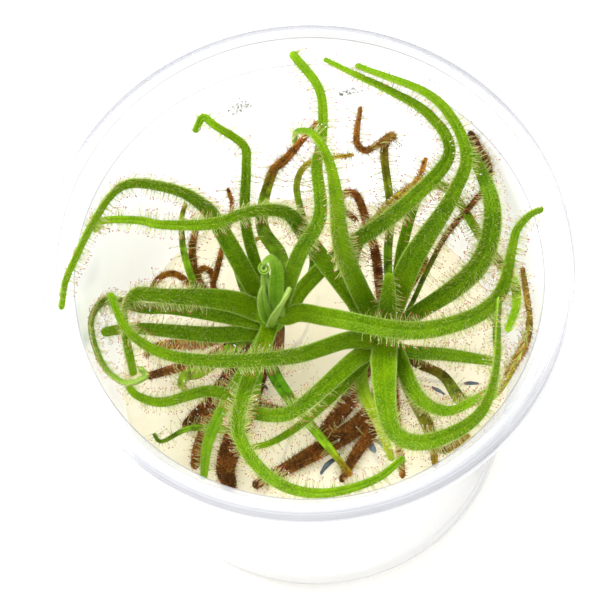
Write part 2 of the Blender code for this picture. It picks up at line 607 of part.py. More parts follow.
def main():
    for thing in list(bpy.data.objects):
        bpy.data.objects.remove(thing)
    random.seed(SEED)
    cup()
    gel()
    fresh = material("fresh sundew leaf", GREEN, 0.4)
    withered = material("withered sundew leaf", BROWN, 0.7)
    green = {"left": leaves(LEFT_LEAVES, "left", FRESH), "right": leaves(RIGHT_LEAVES, "right", FRESH)}
    old = {"left": leaves(LEFT_OLD, "left", WITHERED), "right": leaves(RIGHT_OLD, "right", WITHERED)}
    crowd = Crowd(green["left"] + green["right"] + old["left"] + old["right"])
    for side, centre in STEMS.items():
        bush("rosette_" + side, heart(centre), green[side], crowd, fresh)
        bush("stem_" + side, stalk(centre), old[side], crowd, withered)


main()
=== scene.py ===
import json
import math

import bmesh
import bpy
from mathutils import Matrix, Quaternion, Vector

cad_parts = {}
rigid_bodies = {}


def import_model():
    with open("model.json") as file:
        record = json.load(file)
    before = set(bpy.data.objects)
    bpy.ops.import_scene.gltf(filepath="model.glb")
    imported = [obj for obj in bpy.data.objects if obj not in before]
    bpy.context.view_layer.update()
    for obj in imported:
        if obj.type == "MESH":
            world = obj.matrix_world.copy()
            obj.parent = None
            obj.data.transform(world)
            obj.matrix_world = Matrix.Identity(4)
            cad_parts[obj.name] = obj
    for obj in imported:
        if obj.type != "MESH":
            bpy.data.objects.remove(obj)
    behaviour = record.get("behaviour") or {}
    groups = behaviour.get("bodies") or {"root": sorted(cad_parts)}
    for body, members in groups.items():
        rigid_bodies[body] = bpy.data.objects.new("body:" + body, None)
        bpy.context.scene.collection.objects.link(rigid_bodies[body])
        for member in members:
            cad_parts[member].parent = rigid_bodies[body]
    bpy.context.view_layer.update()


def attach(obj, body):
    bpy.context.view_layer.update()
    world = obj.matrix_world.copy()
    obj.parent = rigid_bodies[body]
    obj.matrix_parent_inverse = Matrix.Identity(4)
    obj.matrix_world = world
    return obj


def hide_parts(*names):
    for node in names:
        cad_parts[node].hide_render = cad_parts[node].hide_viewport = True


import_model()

# Two sundew plants in a clear culture cup. Lengths are in millimetres and become metres in mm().
stems = {"left": (-8.0, 5.5), "right": (14.0, 0.8)}
gelTop = 21.6


def mm(value):
    return value * 0.001


def between(a, b, t):
    return a + (b - a) * t


def srgb(text):
    parts = [int(text[i:i + 2], 16) / 255 for i in (0, 2, 4)]
    return tuple(p / 12.92 if p <= 0.04045 else ((p + 0.055) / 1.055) ** 2.4 for p in parts) + (1.0,)


# Adds a node with its settings and its inputs' values or links, and gives its first live output.
# A colour may be given as sRGB hex text.
def add(tree, kind, inputs=None, **settings):
    node = tree.nodes.new(kind)
    for name, value in settings.items():
        setattr(node, name, value)
    for key, value in (inputs or {}).items():
        socket = node.inputs[key] if isinstance(key, int) else next(
            s for s in node.inputs if s.name == key and s.enabled)
        if isinstance(value, bpy.types.NodeSocket):
            tree.links.new(value, socket)
        else:
            socket.default_value = srgb(value) if socket.type == "RGBA" and isinstance(value, str) else value
    return next((s for s in node.outputs if s.enabled), None)


# An empty material, its tree, its object coordinates and the attributes that it reads
def newMaterial(name, *attributes):
    made = bpy.data.materials.new(name)
    made.use_nodes = True
    tree = made.node_tree
    tree.nodes.clear()
    place = add(tree, "ShaderNodeTexCoord").node.outputs["Object"]
    return made, tree, place, *(add(tree, "ShaderNodeAttribute", attribute_name=a) for a in attributes)


def shaded(tree, inputs):
    shader = add(tree, "ShaderNodeBsdfPrincipled", inputs)
    add(tree, "ShaderNodeOutputMaterial", {"Surface": shader})


# A cloudy mix of two colours, in patches of this size in millimetres
def mottled(tree, place, size, spread, first, second, detail=3.0):
    cloud = add(tree, "ShaderNodeTexNoise", {"Vector": place, "Scale": 1 / mm(size), "Detail": detail})
    share = add(tree, "ShaderNodeMapRange",
                {"Value": cloud, "From Min": 0.5 - spread, "From Max": 0.5 + spread})
    return add(tree, "ShaderNodeMix", {"Factor": share, "A": first, "B": second}, data_type="RGBA")


# One colour laid over another where a value passes from low to high, up to the most given
def laidOver(tree, under, over, value, low, high, most=1.0):
    share = add(tree, "ShaderNodeMapRange",
                {"Value": value, "From Min": low, "From Max": high, "To Max": most})
    return add(tree, "ShaderNodeMix", {"Factor": share, "A": under, "B": over}, data_type="RGBA")


# A colour made lighter and darker in patches
def blotched(tree, place, tint, *mix):
    return add(tree, "ShaderNodeMix", {"Factor": 1.0, "A": tint, "B": mottled(tree, place, *mix)},
               data_type="RGBA", blend_type="MULTIPLY")


# A material that is one cloudy mix, with the rest of its surface as given
def cloudy(name, surface, *mix):
    made, tree, place = newMaterial(name)
    shaded(tree, {"Base Color": mottled(tree, place, *mix), **surface})
    return made


# Dry hair on withered leaves: thin, dark to rust brown
fuzz = cloudy("withered sundew hair", {"Roughness": 0.6, "IOR": 1.5, "Specular IOR Level": 0.2},
              3.3, 0.12, "5a3812", "b47028")
# Tentacle head: a red gland wet with clear slime
gland = cloudy("sundew gland", {"Roughness": 0.25, "IOR": 1.38, "Coat Weight": 0.3, "Coat Roughness": 0.1},
               1.1, 0.15, "8c261c", "c2584a")
# Down on fresh leaves: short clear hairs that catch the light
down = cloudy("sundew down", {"Roughness": 0.4, "IOR": 1.4}, 2, 0.15, "9cb848", "d2dc9c")
# Roots: blue-grey and blurred, just under the gel's surface
root = cloudy("sundew root", {"Roughness": 0.5, "IOR": 1.4}, 2.9, 0.15, "39434d", "7d8a94", 4.0)
# Table: matt white, which throws light up into the cup
floorMaterial = cloudy("white table", {"Roughness": 0.9, "Specular IOR Level": 0.1},
                       330, 0.2, "fbfbfb", "fdfdfd")

# Fresh sundew leaf: soft living tissue under a pale grain, so it is matt, with a lighter rib and margin
living, tree, place, tint, across = newMaterial("fresh sundew leaf", "leafColour", "across")
margin = add(tree, "ShaderNodeMath", {0: across}, operation="ABSOLUTE")
colour = blotched(tree, place, tint, 3.8, 0.2, (0.7, 0.78, 0.5, 1), (1.25, 1.16, 1.2, 1))
grain = add(tree, "ShaderNodeTexVoronoi", {"Vector": place, "Scale": 1 / mm(0.4)})
colour = laidOver(tree, colour, "8cb41c", grain, 0.62, 0.15, 0.4)
colour = laidOver(tree, colour, "769c14", margin, 0.14, 0.0, 0.35)
colour = laidOver(tree, colour, "aac850", margin, 0.86, 0.98, 0.55)
relief = add(tree, "ShaderNodeBump", {"Height": grain, "Distance": mm(-0.1), "Strength": 0.6})
shaded(tree, {"Base Color": colour, "Normal": relief, "Roughness": 0.45, "IOR": 1.42,
              "Specular IOR Level": 0.08})

# Withered sundew leaf: dry, dull brown tissue, wrinkled and mottled
dried, tree, place, tint, dryness = newMaterial("withered sundew leaf", "leafColour", "dryness")
colour = blotched(tree, place, tint, 2.1, 0.15, (0.5, 0.44, 0.36, 1), (1.6, 1.5, 1.3, 1), 6.0)
crumbs = add(tree, "ShaderNodeTexNoise", {"Vector": place, "Scale": 1 / mm(0.5), "Detail": 3.0})
most = add(tree, "ShaderNodeMath", {0: dryness, 1: 0.42, 2: 0.08}, operation="MULTIPLY_ADD")
colour = laidOver(tree, colour, "c08a3c", crumbs, 0.55, 0.66, most)
colour = laidOver(tree, colour, "26160a", crumbs, 0.48, 0.38, most)
wrinkles = add(tree, "ShaderNodeTexNoise", {"Vector": place, "Scale": 1 / mm(0.9), "Detail": 6.0})
relief = add(tree, "ShaderNodeBump", {"Height": wrinkles, "Distance": mm(0.5)})
shaded(tree, {"Base Color": colour, "Normal": relief, "Roughness": 0.75, "IOR": 1.45,
              "Specular IOR Level": 0.2})

# Tentacle stalk: a pale, nearly clear hair of leaf tissue, redder at its head in patches
stalk, tree, place, rise = newMaterial("sundew tentacle stalk", "rise")
pale = laidOver(tree, "9ab03c", "cfd386", rise, 0.0, 0.6)
tipped = mottled(tree, place, 11, 0.1, pale, "b8503c")
shaded(tree, {"Base Color": laidOver(tree, pale, tipped, rise, 0.7, 1.0, 0.8),
              "Roughness": 0.35, "IOR": 1.4, "Specular IOR Level": 0.3})

# Dew: a clear drop of sundew slime, with a painted white glint that is whitest face on
dew, tree, _ = newMaterial("sundew slime drop")
facing = add(tree, "ShaderNodeLayerWeight", {"Blend": 0.5}).node.outputs["Facing"]
# Painted glint: white where the drop faces the view, paler green towards its rim
shaded(tree, {"Base Color": laidOver(tree, "ffffff", "dfe8d2", facing, 0.0, 1.0),
              "Roughness": 0.04, "IOR": 1.36, "Alpha": 0.6, "Coat Weight": 1.0})

# Fogged polypropylene: clear face on, hazy where seen edge on, with a painted grey reflection there
plastic, tree, place, edge = newMaterial("clear polypropylene", "edge")
facing = add(tree, "ShaderNodeLayerWeight", {"Blend": 0.5}).node.outputs["Facing"]
fog = add(tree, "ShaderNodeTexNoise", {"Vector": place, "Scale": 1 / mm(16), "Detail": 4.0})
haze = add(tree, "ShaderNodeMapRange",
           {"Value": facing, "From Min": 0.2, "From Max": 0.65, "To Min": 0.015, "To Max": 0.6})
haze = add(tree, "ShaderNodeMath", {0: fog, 1: 0.03, 2: haze}, operation="MULTIPLY_ADD")
# Painted shade: the profile's corners become more opaque outlines, where the clear plastic only bends light
outline = add(tree, "ShaderNodeMath", {0: edge, 1: 0.6}, operation="MULTIPLY")
alpha = add(tree, "ShaderNodeMath", {0: haze, 1: outline}, operation="MAXIMUM")
# Painted reflection: greyer where the wall is seen edge on
colour = laidOver(tree, "f4f5f7", "b4bac8", facing, 0.78, 1.0)
# Painted shade: dark grey outlines along the profile's corners
colour = laidOver(tree, colour, "686a7a", edge, 0.0, 0.3)
shaded(tree, {"Base Color": colour, "Alpha": alpha, "Roughness": 0.12, "IOR": 1.49})

# Agar culture gel: moist, cloudy cream jelly, with a faint painted glow (its emission) standing in for light
# scattered inside it
agar, tree, place = newMaterial("agar culture gel")
cream = mottled(tree, place, 18, 0.2, "f0e7c6", "fdf9e8", 5.0)
cloud = add(tree, "ShaderNodeTexNoise", {"Vector": place, "Scale": 1 / mm(9), "Detail": 4.0})
thick = add(tree, "ShaderNodeMapRange",
            {"Value": cloud, "From Min": 0.3, "From Max": 0.7, "To Min": 0.78, "To Max": 0.6})
relief = add(tree, "ShaderNodeBump", {"Height": cloud, "Distance": mm(0.4)})
# The cream emission is painted light: a glow that the gel itself does not give
shaded(tree, {"Base Color": cream, "Alpha": thick, "Normal": relief, "Roughness": 0.18, "IOR": 1.34,
              "Emission Color": "fff6d8", "Emission Strength": 0.22})

# Condensation: clear water, with painted shade darkening each drop at its rim
water, tree, place = newMaterial("water drop")
facing = add(tree, "ShaderNodeLayerWeight", {"Blend": 0.5}).node.outputs["Facing"]
pale = mottled(tree, place, 5, 0.1, "aab4a6", "c9d0c8")
# Painted shade: darker where the drop is seen edge on, at its rim
shaded(tree, {"Base Color": laidOver(tree, pale, "3c443c", facing, 0.1, 0.6),
              "Roughness": 0.03, "IOR": 1.33, "Alpha": 0.6})


def link(obj):
    bpy.context.scene.collection.objects.link(obj)
    return obj


def objectOf(bm, name, material):
    bmesh.ops.recalc_face_normals(bm, faces=bm.faces)
    mesh = bpy.data.meshes.new(name)
    bm.to_mesh(mesh)
    bm.free()
    mesh.shade_smooth()
    mesh.materials.append(material)
    return link(bpy.data.objects.new(name, mesh))


def ridden(obj, slot, *nodes):
    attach(obj, "root")
    if nodes:
        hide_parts(*nodes)
    return obj


# The point at a radius, an angle and a height
def around(radius, angle, height):
    return Vector((radius * math.cos(angle), radius * math.sin(angle), height))


# Turns a profile of (radius, height, edge) points round a centre; edge is kept for the plastic's painted
# dark outlines
def lathe(profile, sides, centre=(0.0, 0.0)):
    bm = bmesh.new()
    layer = bm.verts.layers.float.new("edge")
    rings = []
    for radius, height, *edge in profile:
        ring = []
        for i in range(sides if radius > 0 else 1):
            place = around(radius, 2 * math.pi * i / sides, height) + Vector((*centre, 0))
            ring.append(bm.verts.new(mm(place)))
            ring[-1][layer] = edge[0] if edge else 0.0
        rings.append(ring)
    joinRings(bm, rings, sides)
    return bm


# Faces between rings of vertices; a ring of one vertex closes a pole
def joinRings(bm, rings, sides):
    for low, high in zip(rings, rings[1:]):
        for i in range(sides):
            j = i + 1
            corners = [low[i % len(low)], low[j % len(low)], high[j % len(high)], high[i % len(high)]]
            distinct = list(dict.fromkeys(corners))
            if len(distinct) > 2:
                bm.faces.new(distinct)


# The profile with its inner corners rounded, each of them a painted outline of the strength given, or full
def rounded(profile, radius, steps=4, most=0.45):
    out = [profile[0]]
    for a, b, c in zip(profile, profile[1:], profile[2:]):
        strength = b[2] if len(b) > 2 else 1.0
        a, b, c = Vector(a[:2]), Vector(b[:2]), Vector(c[:2])
        reach = min(radius, (a - b).length * most, (c - b).length * most)
        start, end = b + (a - b).normalized() * reach, b + (c - b).normalized() * reach
        for i in range(steps + 1):
            t = i / steps
            point = start.lerp(b, t).lerp(b.lerp(end, t), t)
            out.append((point.x, point.y, strength * math.sin(math.pi * t)))
    out.append(profile[-1])
    return out


# Cup: (radius, height) from under the foot, up the outside, over the rim and down the inside.
# The skirt's thick top, beyond the band's radius and height, gets a painted grey ring; a corner's third
# number is its painted outline strength.
cup = {
    "sides": 240, "rounding": 0.35, "band": (48.3, 79.5, 0.5), "inside": (37.2, 43.6), "ledge": 73.5,
    "profile": [
        (0, 0.7), (30.3, 0.7, 0.5), (31, 0, 0.5), (35.8, 0, 0.6), (37.6, 0.7, 0.6), (38.35, 2.6, 0.4),
        (44.5, 72.6, 0.2), (47.2, 72.6, 0.2), (47.2, 79.1, 0.1), (48.1, 79.1, 0.1), (48.35, 74.9, 0.3),
        (49.25, 74.9, 0.7), (49, 79.8, 0.95), (48.6, 80, 0.8), (46.6, 80, 0.3), (46.3, 79.6, 1.0),
        (46.3, 73.5, 0.5), (43.6, 73.5, 1.0), (37.45, 4.2, 0.4), (36.9, 2.5, 0.2), (35.4, 1.9, 0.1),
        (0, 1.9)]}
bandRadius, bandHeight, bandStrength = cup["band"]
profile = []
for radius, height, *edge in rounded(cup["profile"], cup["rounding"]):
    strength = edge[0] if edge else 0.0
    if radius > bandRadius and height > bandHeight:
        strength = max(strength, bandStrength)
    profile.append((radius, height, strength))
ridden(objectOf(lathe(profile, cup["sides"]), "cup_shell", plastic), "clear_plastic", "cup")


# Radius inside the cup's tapered wall
def innerWall(height):
    return between(*cup["inside"], height / cup["ledge"])


# Gel: sits in the cup and climbs a little where it meets the wall
gel = {"sides": 120, "clear": 0.3, "bottom": [(0, 2.2), (35, 2.2), (36.6, 2.8), (37.15, 4.4)],
       "meniscus": [(0, 0.5), (0.25, 0.38), (0.6, 0.18), (1.2, 0.05), (2.2, 0)],
       "top": (0.8, 0.6, 0.4, 0.2, 0)}
rim = innerWall(gelTop) - gel["clear"]
profile = [*gel["bottom"], *((rim - inward, gelTop + rise) for inward, rise in gel["meniscus"]),
           *((rim * share, gelTop) for share in gel["top"])]
ridden(objectOf(lathe(profile, gel["sides"]), "gel_bed", agar), "nutrient_gel", "gel")
print("cup and gel made")

# Leaves: routes of (x, y, height, width) points from stem to tip
leftLeaves = {
    "over_left_rim": [(-9.5, 8.5, 41, 3.2), (-13, 13.5, 49, 3.2), (-18, 19, 63, 2.7), (-20, 19, 68.5, 2.4),
        (-23.5, 19.5, 73, 2.2), (-32.5, 19, 78.5, 1.9), (-36, 16, 80, 1.7), (-44.5, -1.5, 82.5, 1.3),
        (-45.5, -6.5, 82.5, 1.2)],
    "back_high": [(-6, 6.5, 42, 2.8), (-1.5, 11, 58, 2.7), (3, 15, 67, 2.3), (3, 23.5, 71.5, 1.9),
        (4, 26.5, 73, 1.8), (4.5, 35.5, 78, 1.5), (0, 42.5, 80, 1.5)],
    "back_right_arch": [(-4.5, 7, 39, 2.8), (-2, 10.5, 40, 2.8), (5.5, 15, 46.5, 2.8), (20, 17, 66, 2.7),
        (28, 23.5, 73, 2.2), (25, 30, 75, 1.9), (6, 41.5, 79, 0.9)],
    "right_over_top": [(-4.5, 4.5, 42.5, 3.2), (-2, 4.5, 44, 3.2), (3.5, 2, 47, 3.2),
        (20.5, -4.5, 53.5, 3.1), (32, -4.5, 60.5, 2.8), (36, -2.5, 66.5, 2.3), (38, 2.5, 75, 1.6),
        (39, 5, 77, 1.5), (42, 7, 79.5, 1.3), (43.5, 7.5, 79.5, 1.2)],
    "left_upper": [(-10.5, 6.5, 42, 4), (-15.5, 7, 46.5, 3.8), (-26.5, 4.5, 57, 2.6), (-34.5, 2, 64, 2.3),
        (-35.5, -2.5, 64, 2), (-34.5, -10.5, 57, 1.4)],
    "left_loop": [(-10, 4.5, 40.5, 2.8), (-27, 5, 49.5, 2), (-32, 4.5, 52, 1.9), (-39, 3.5, 59.5, 1.7),
        (-41.5, -3.5, 66, 1.5), (-39, -14, 69.5, 1.4), (-34.5, -18.5, 72, 1.3), (-31, -17.5, 73, 1.3),
        (-32, -16, 72.5, 1.3)],
    "left_low": [(-10.5, 3.5, 39, 2.6), (-18, 2.5, 40.5, 2.8), (-35.5, 2.5, 47, 1.9), (-40, 1.5, 48.5, 1.6)],
    "front_loop": [(-8.5, 2.5, 41, 3), (-15, -26, 60.5, 2.3), (-8, -38, 66.5, 1.9), (-0.5, -41, 68.5, 1.6),
        (9.5, -40, 71.5, 1.3), (14.5, -37, 73, 1.1)],
    "back_left_arch": [(-8.5, 9.5, 40, 2.2), (-11.5, 20, 53.5, 1.9), (-10.5, 27, 65.5, 1.6),
        (-10.5, 29.5, 68.5, 1.5), (-16, 32.5, 73, 1.3), (-18, 34, 73.5, 1.3), (-19.5, 32, 72.5, 1.2)],
    "young": [(-6.3, 4.7, 42.5, 2.2), (-6.5, 6.1, 46, 2.5), (-6.5, 7.2, 50, 2.6), (-6.2, 8.4, 53.5, 2.5),
        (-6.3, 9.9, 55.5, 2.3), (-7.2, 11, 56.5, 1.8), (-8.1, 10.8, 56, 1.4)],
    "front_left_low": [(-10, 1.5, 39, 2.2), (-21.5, -17.5, 36, 1.9), (-23, -24.5, 34.5, 1.3)],
    # The furled young leaf's inner blade and two pale bracts
    "young_inner": [(-8, 4.9, 42.3, 1.6), (-8.2, 6.4, 46, 2), (-8.2, 7.7, 49.5, 2), (-8.3, 8.8, 52.5, 1.7),
        (-8.4, 9.9, 54, 1.1)],
    "bract_right": [(-7.8, 2.9, 42.5, 1.9), (-6.8, 3, 47.5, 2.9), (-5.7, 3.4, 51.5, 2.9),
        (-4.6, 3.9, 54.5, 2.1), (-3.9, 4.7, 56, 0.9)],
    "bract_left": [(-8.1, 3.7, 42.3, 1.6), (-8.9, 4.8, 45, 2.2), (-9.2, 6.1, 47.5, 2), (-9.2, 7, 50, 1.3),
        (-8.9, 7.8, 51, 0.8)],
}
rightLeaves = {
    "across_left": [(12, 2.5, 40, 3.2), (7, 8, 46, 3.2), (0.5, 15.5, 53.5, 2.9), (-3.5, 18, 62.5, 2.4),
        (-10.5, 16, 68.5, 2.1), (-17, 13, 71, 2), (-27.5, 13.5, 71, 1.5), (-31, 15, 70, 1.4),
        (-38.5, 15.5, 69.5, 1.2), (-39.5, 14, 69.5, 1.2)],
    "back_hook": [(11.5, 5, 42, 3.6), (7, 9.5, 60, 3.4), (6, 12.5, 67.5, 3.2), (6, 15, 73, 2.7),
        (5, 21, 78, 1.8), (2.5, 26, 79.5, 1.4), (-0.5, 27.5, 77.5, 1.3), (-1, 27, 75.5, 1.3)],
    "back_right_high": [(15.5, 3.5, 42, 3.8), (20, 9.5, 55, 4), (28.5, 16.5, 70.5, 2.5),
        (31, 21.5, 75.5, 2.1), (26.5, 31, 79, 1.8), (12, 39.5, 79.5, 1.2)],
    "right_fold": [(16.5, 2.5, 39, 2.6), (20.5, 3.5, 42, 2.8), (33, 6, 60, 3.5), (35.5, 13, 70, 2.9),
        (32, 26, 70, 1.4)],
    "left_over_top": [(12, -1.5, 42.5, 3.6), (7, -2, 45, 3.6), (-4.5, -7.5, 52, 2.7), (-22.5, -10, 60, 2.1),
        (-30.5, -9, 65, 1.7), (-35, -6, 69.5, 1.3), (-37, -1, 72.5, 1.2)],
    "front_left_wave": [(11, -2.5, 40, 3.2), (7, -6.5, 43.5, 3.1), (-3.5, -17.5, 50.5, 2.5),
        (-6.5, -19, 51, 2.4), (-12, -18, 50.5, 2.3), (-14.5, -15.5, 50, 2.2), (-20, -13, 50.5, 2),
        (-30, -16, 54.5, 1.6), (-34.5, -15, 57.5, 1.3), (-35.5, -13.5, 58.5, 1.2)],
    "front_left_thin": [(9, -6, 39.5, 1.8), (-3.5, -19, 45, 1.4), (-9.5, -22.5, 45.5, 1.1),
        (-13, -23, 45, 1)],
    "front_right_loop": [(14, -3, 41.5, 4.4), (13.5, -8, 45, 4.6), (14.5, -25.5, 54, 2.9),
        (19.5, -28.5, 57, 2.7), (29.5, -25.5, 61.5, 2.2), (33, -19, 64.5, 1.6), (35, -6, 69.5, 1.2)],
    "front_right": [(16, -3, 40, 2.8), (20, -17, 48, 2.4), (25, -21, 52, 1.9), (32, -20, 58, 1.4)],
    "front_low": [(9, -5.5, 39, 2.6), (9, -10.5, 39.5, 2.4), (11.5, -18.5, 41.5, 1.8), (13.5, -26, 42, 1.2)],
    "right_low": [(16.5, -2.5, 39, 2.4), (26.5, -5.5, 41.5, 2.2), (34.5, -8.5, 44.5, 1.6)],
    "right_turn": [(18, 0.5, 39, 2), (25, -0.5, 42.5, 2), (34.5, -1, 51, 1.9), (35, -9, 55.5, 1.6),
        (33, -21.5, 60, 1.2)],
    "right_arch": [(16.5, 7, 40, 2), (19, 15.5, 51, 1.9), (23, 22.5, 58, 1.7), (26, 23, 59.5, 1.7),
        (28.5, 21, 60, 1.6), (34.5, 10, 58, 1.6), (38.5, -0.5, 64.5, 1.7), (38.5, -6, 67.5, 1.6),
        (36, -13, 72, 1.2)],
    "short": [(14.5, 2.5, 43.5, 3), (15, 3.5, 47.5, 3.1), (15.5, 7, 53.5, 1.6)],
    "low_tip": [(16, -3.5, 39, 1.6), (21, -16, 35, 1.9), (23.4, -22.4, 34, 2), (26.8, -21.6, 35, 1.5),
        (28.9, -20.6, 36, 1)],
}
leftOld = {
    "back_brown": [(-7, 9.5, 35.5, 2.6), (-5, 15, 37, 3.1), (-5.5, 19, 39.5, 3.1), (-8.5, 23.5, 44.5, 2.6),
        (-5.5, 30.5, 54.5, 1.8), (-3, 31, 58.5, 1.7), (3.5, 33.5, 68.5, 0.9)],
    "back_thin": [(-3, 11, 35, 1.4), (1, 17, 37, 1.4), (-1, 28.5, 52.5, 1.3), (1.5, 31, 56, 1.2),
        (10, 30, 60.5, 0.8)],
    "left_pale": [(-11, 8.5, 35.5, 1.6), (-21, 11.5, 38.5, 1.8), (-24, 17, 45.5, 1.5), (-24, 23, 52, 1.1),
        (-23, 24.5, 54.5, 1)],
    "left_dark": [(-10.5, 9, 35, 1.6), (-19.5, 12, 37.5, 1.7), (-22, 14.5, 40, 1.7), (-22.5, 19.5, 46, 1.5),
        (-21.5, 21.5, 49, 1.2)],
    "left_bow": [(-11.5, 8, 34.5, 1.4), (-22, 13, 35.5, 1.4), (-24.5, 16, 37, 1.4), (-27, 17, 38.5, 1.3),
        (-29.5, 16, 39, 1.2), (-31, 14.5, 38.5, 1.1)],
    "left_curl": [(-11.5, 9.5, 34.5, 1.4), (-20.5, 14, 34.5, 1.6), (-22, 16.5, 36.5, 1.4),
        (-21, 18.5, 36.5, 1.3), (-19.5, 18, 36, 1.3), (-19, 17, 35, 1.2)],
    "left_wisp": [(-10.5, 10, 35, 1.1), (-15.5, 12.5, 34.5, 1.2), (-19, 14.5, 35.5, 1.2),
        (-18, 17.5, 38, 1.2), (-14, 26, 49.5, 0.8), (-14.5, 28, 52.5, 0.8)],
    "left_stub": [(-10, 10, 35.5, 1.8), (-12.5, 12.5, 36, 1.8), (-15, 20, 43, 1.4)],
    "front_yellow": [(-9, 3.5, 35, 2.2), (-9, 0, 33, 2.5), (-7.5, -4.5, 31.5, 2.6), (5.5, -23, 25.5, 1.2)],
    "front_dark": [(-10, 3.5, 34, 1.6), (-13, -3.5, 24.5, 1.8), (-12, -5.5, 22.5, 1.8), (-6, -8, 22.5, 1.4)],
    "left_flat": [(-11, 6, 33.5, 2.2), (-19.5, 2, 30, 2.4), (-33, 1, 24.5, 1.6)],
    "front_left_broad": [(-10.5, 4, 33, 2.8), (-21, -5, 23, 3.3), (-26, -9.5, 22.5, 2.4)],
    "front_left_brown": [(-10, 3, 32.5, 1.6), (-13.5, -0.5, 26.5, 2), (-17, -4.5, 23, 2.2),
        (-21, -8, 22.5, 2.2), (-24.5, -15, 22.5, 2), (-25, -18, 22.5, 1.8)],
    "front_mat": [(-9, 3, 32, 2.2), (-11, -1.5, 26, 2.8), (-13.5, -6, 22.5, 3.7), (-16, -11, 22.5, 4.4),
        (-19, -19.5, 22.5, 3.8), (-18.5, -22.5, 22.5, 3)],
    "left_under": [(-11, 7.5, 33, 2), (-21.5, 5.5, 28.5, 2.2), (-31, 7, 25, 1.7), (-33.5, 6, 23.5, 1.4)],
    "left_olive": [(-11, 4.5, 34.5, 2.2), (-15.5, 2, 34.5, 2.6), (-22.5, -2, 32.5, 2.7),
        (-25.5, -2, 31, 2.3), (-26.5, -3, 29, 1.8), (-25.5, -4, 27, 1.2)],
    "front_left_whip": [(-9.5, 2.5, 34.5, 1.6), (-15, -12.5, 29, 2), (-25.5, -12.5, 29, 1.2),
        (-31.5, -14.5, 28, 0.8), (-32.5, -13, 28, 0.8)],
    "sprig": [(-10.2, 10.5, 35.5, 1), (-10.6, 18, 34, 1), (-10.1, 23.9, 36, 0.9), (-7.1, 24.1, 38, 0.8)],
}
rightOld = {
    "back_hooked": [(15.5, 7, 35.5, 1.6), (16, 16.5, 44, 1.7), (17, 22, 48.5, 1.6), (16.5, 32, 59.5, 1.6),
        (18, 33, 62, 1.6), (12.5, 28.5, 65.5, 1.3), (11, 29.5, 66.5, 1.3), (12, 35, 70.5, 0.8)],
    "back_tipped": [(8, 9, 35.5, 1.6), (9, 15, 41, 1.7), (11, 18, 47.5, 1.8), (17, 21.5, 56, 1.5),
        (22.5, 24, 60.5, 1.2), (24, 27, 62.5, 0.9)],
    "back_noose": [(14.5, 6, 35, 1.6), (14, 9.5, 36.5, 1.7), (13.5, 16.5, 43, 1.8), (12.5, 20.5, 45, 1.7),
        (10, 25.5, 52.5, 1.5), (8, 25.5, 52.5, 1.5), (7, 24, 51, 1.4), (10, 23, 45.5, 1)],
    "right_nub": [(17.5, 7.5, 35, 1.2), (20, 11.5, 35.5, 1.2), (23.5, 16.5, 37.5, 1), (23, 18.5, 38, 0.9)],
    "right_wall": [(17.5, -1, 34.5, 1.8), (19.5, -3, 33, 1.9), (25, -6.5, 33, 2), (28.5, -14.5, 39, 2.6),
        (33.5, -17, 47.5, 1.9), (37.5, -15, 58.5, 2.7), (40, -12.5, 71.5, 1.2), (39.5, -3, 76.5, 0.8)],
    "front_olive": [(16.5, -3.5, 34.5, 2), (18, -9, 34, 2.2), (21.5, -20, 36, 1.8), (22, -26.5, 37.5, 1.2)],
    "front_stub": [(14.5, -3, 35, 1.8), (15, -8, 34, 2), (15.5, -28, 37, 1.2)],
    "mat_short": [(12, -1, 34, 2.4), (7, -6.5, 23.5, 3.6), (1, -13, 22.5, 2.6)],
    "mat_long": [(13.5, -1, 33.5, 2.4), (13.5, -4.5, 28.5, 3), (9, -11, 22.5, 3.8), (1, -16, 22.5, 3.5),
        (-13, -23, 22.5, 1.8)],
    "mat_front": [(15, -1.5, 33, 2), (15, -6.5, 27, 2.5), (13, -10.5, 23, 2.6), (7, -18, 22.5, 2.2),
        (4, -23, 22.5, 1.4)],
    "dry_tip": [(17.5, 4, 35.5, 1), (27, 15, 52, 1.1), (35.2, 19.2, 67.5, 1.3), (35.4, 21.8, 69.5, 1.7),
        (33.9, 24.8, 70, 1.9), (32.7, 28, 70.5, 1.4)],
}

# Degrees that a blade has rolled towards its left edge by the tip
roll = {"front_right_loop": 65, "back_right_high": 38, "back_right_arch": 32, "right_over_top": 36,
        "over_left_rim": -34, "front_loop": 20, "left_loop": -24, "back_hook": 30}
# Leaves that keep their faces to the front where they bend
flat = ("young_inner", "bract_right", "bract_left")
# How densely a leaf carries tentacles, where it differs from the rest
bareness = {"back_right_high": 0.8, "short": 0.5, "young": 0, "young_inner": 0, "back_left_arch": 0.6,
            "right_turn": 0.6, "bract_right": 0, "bract_left": 0, "dry_tip": 3, "back_tipped": 3.5,
            "right_wall": 3, "front_left_whip": 2.5, "back_hooked": 1.6, "left_olive": 2.5}
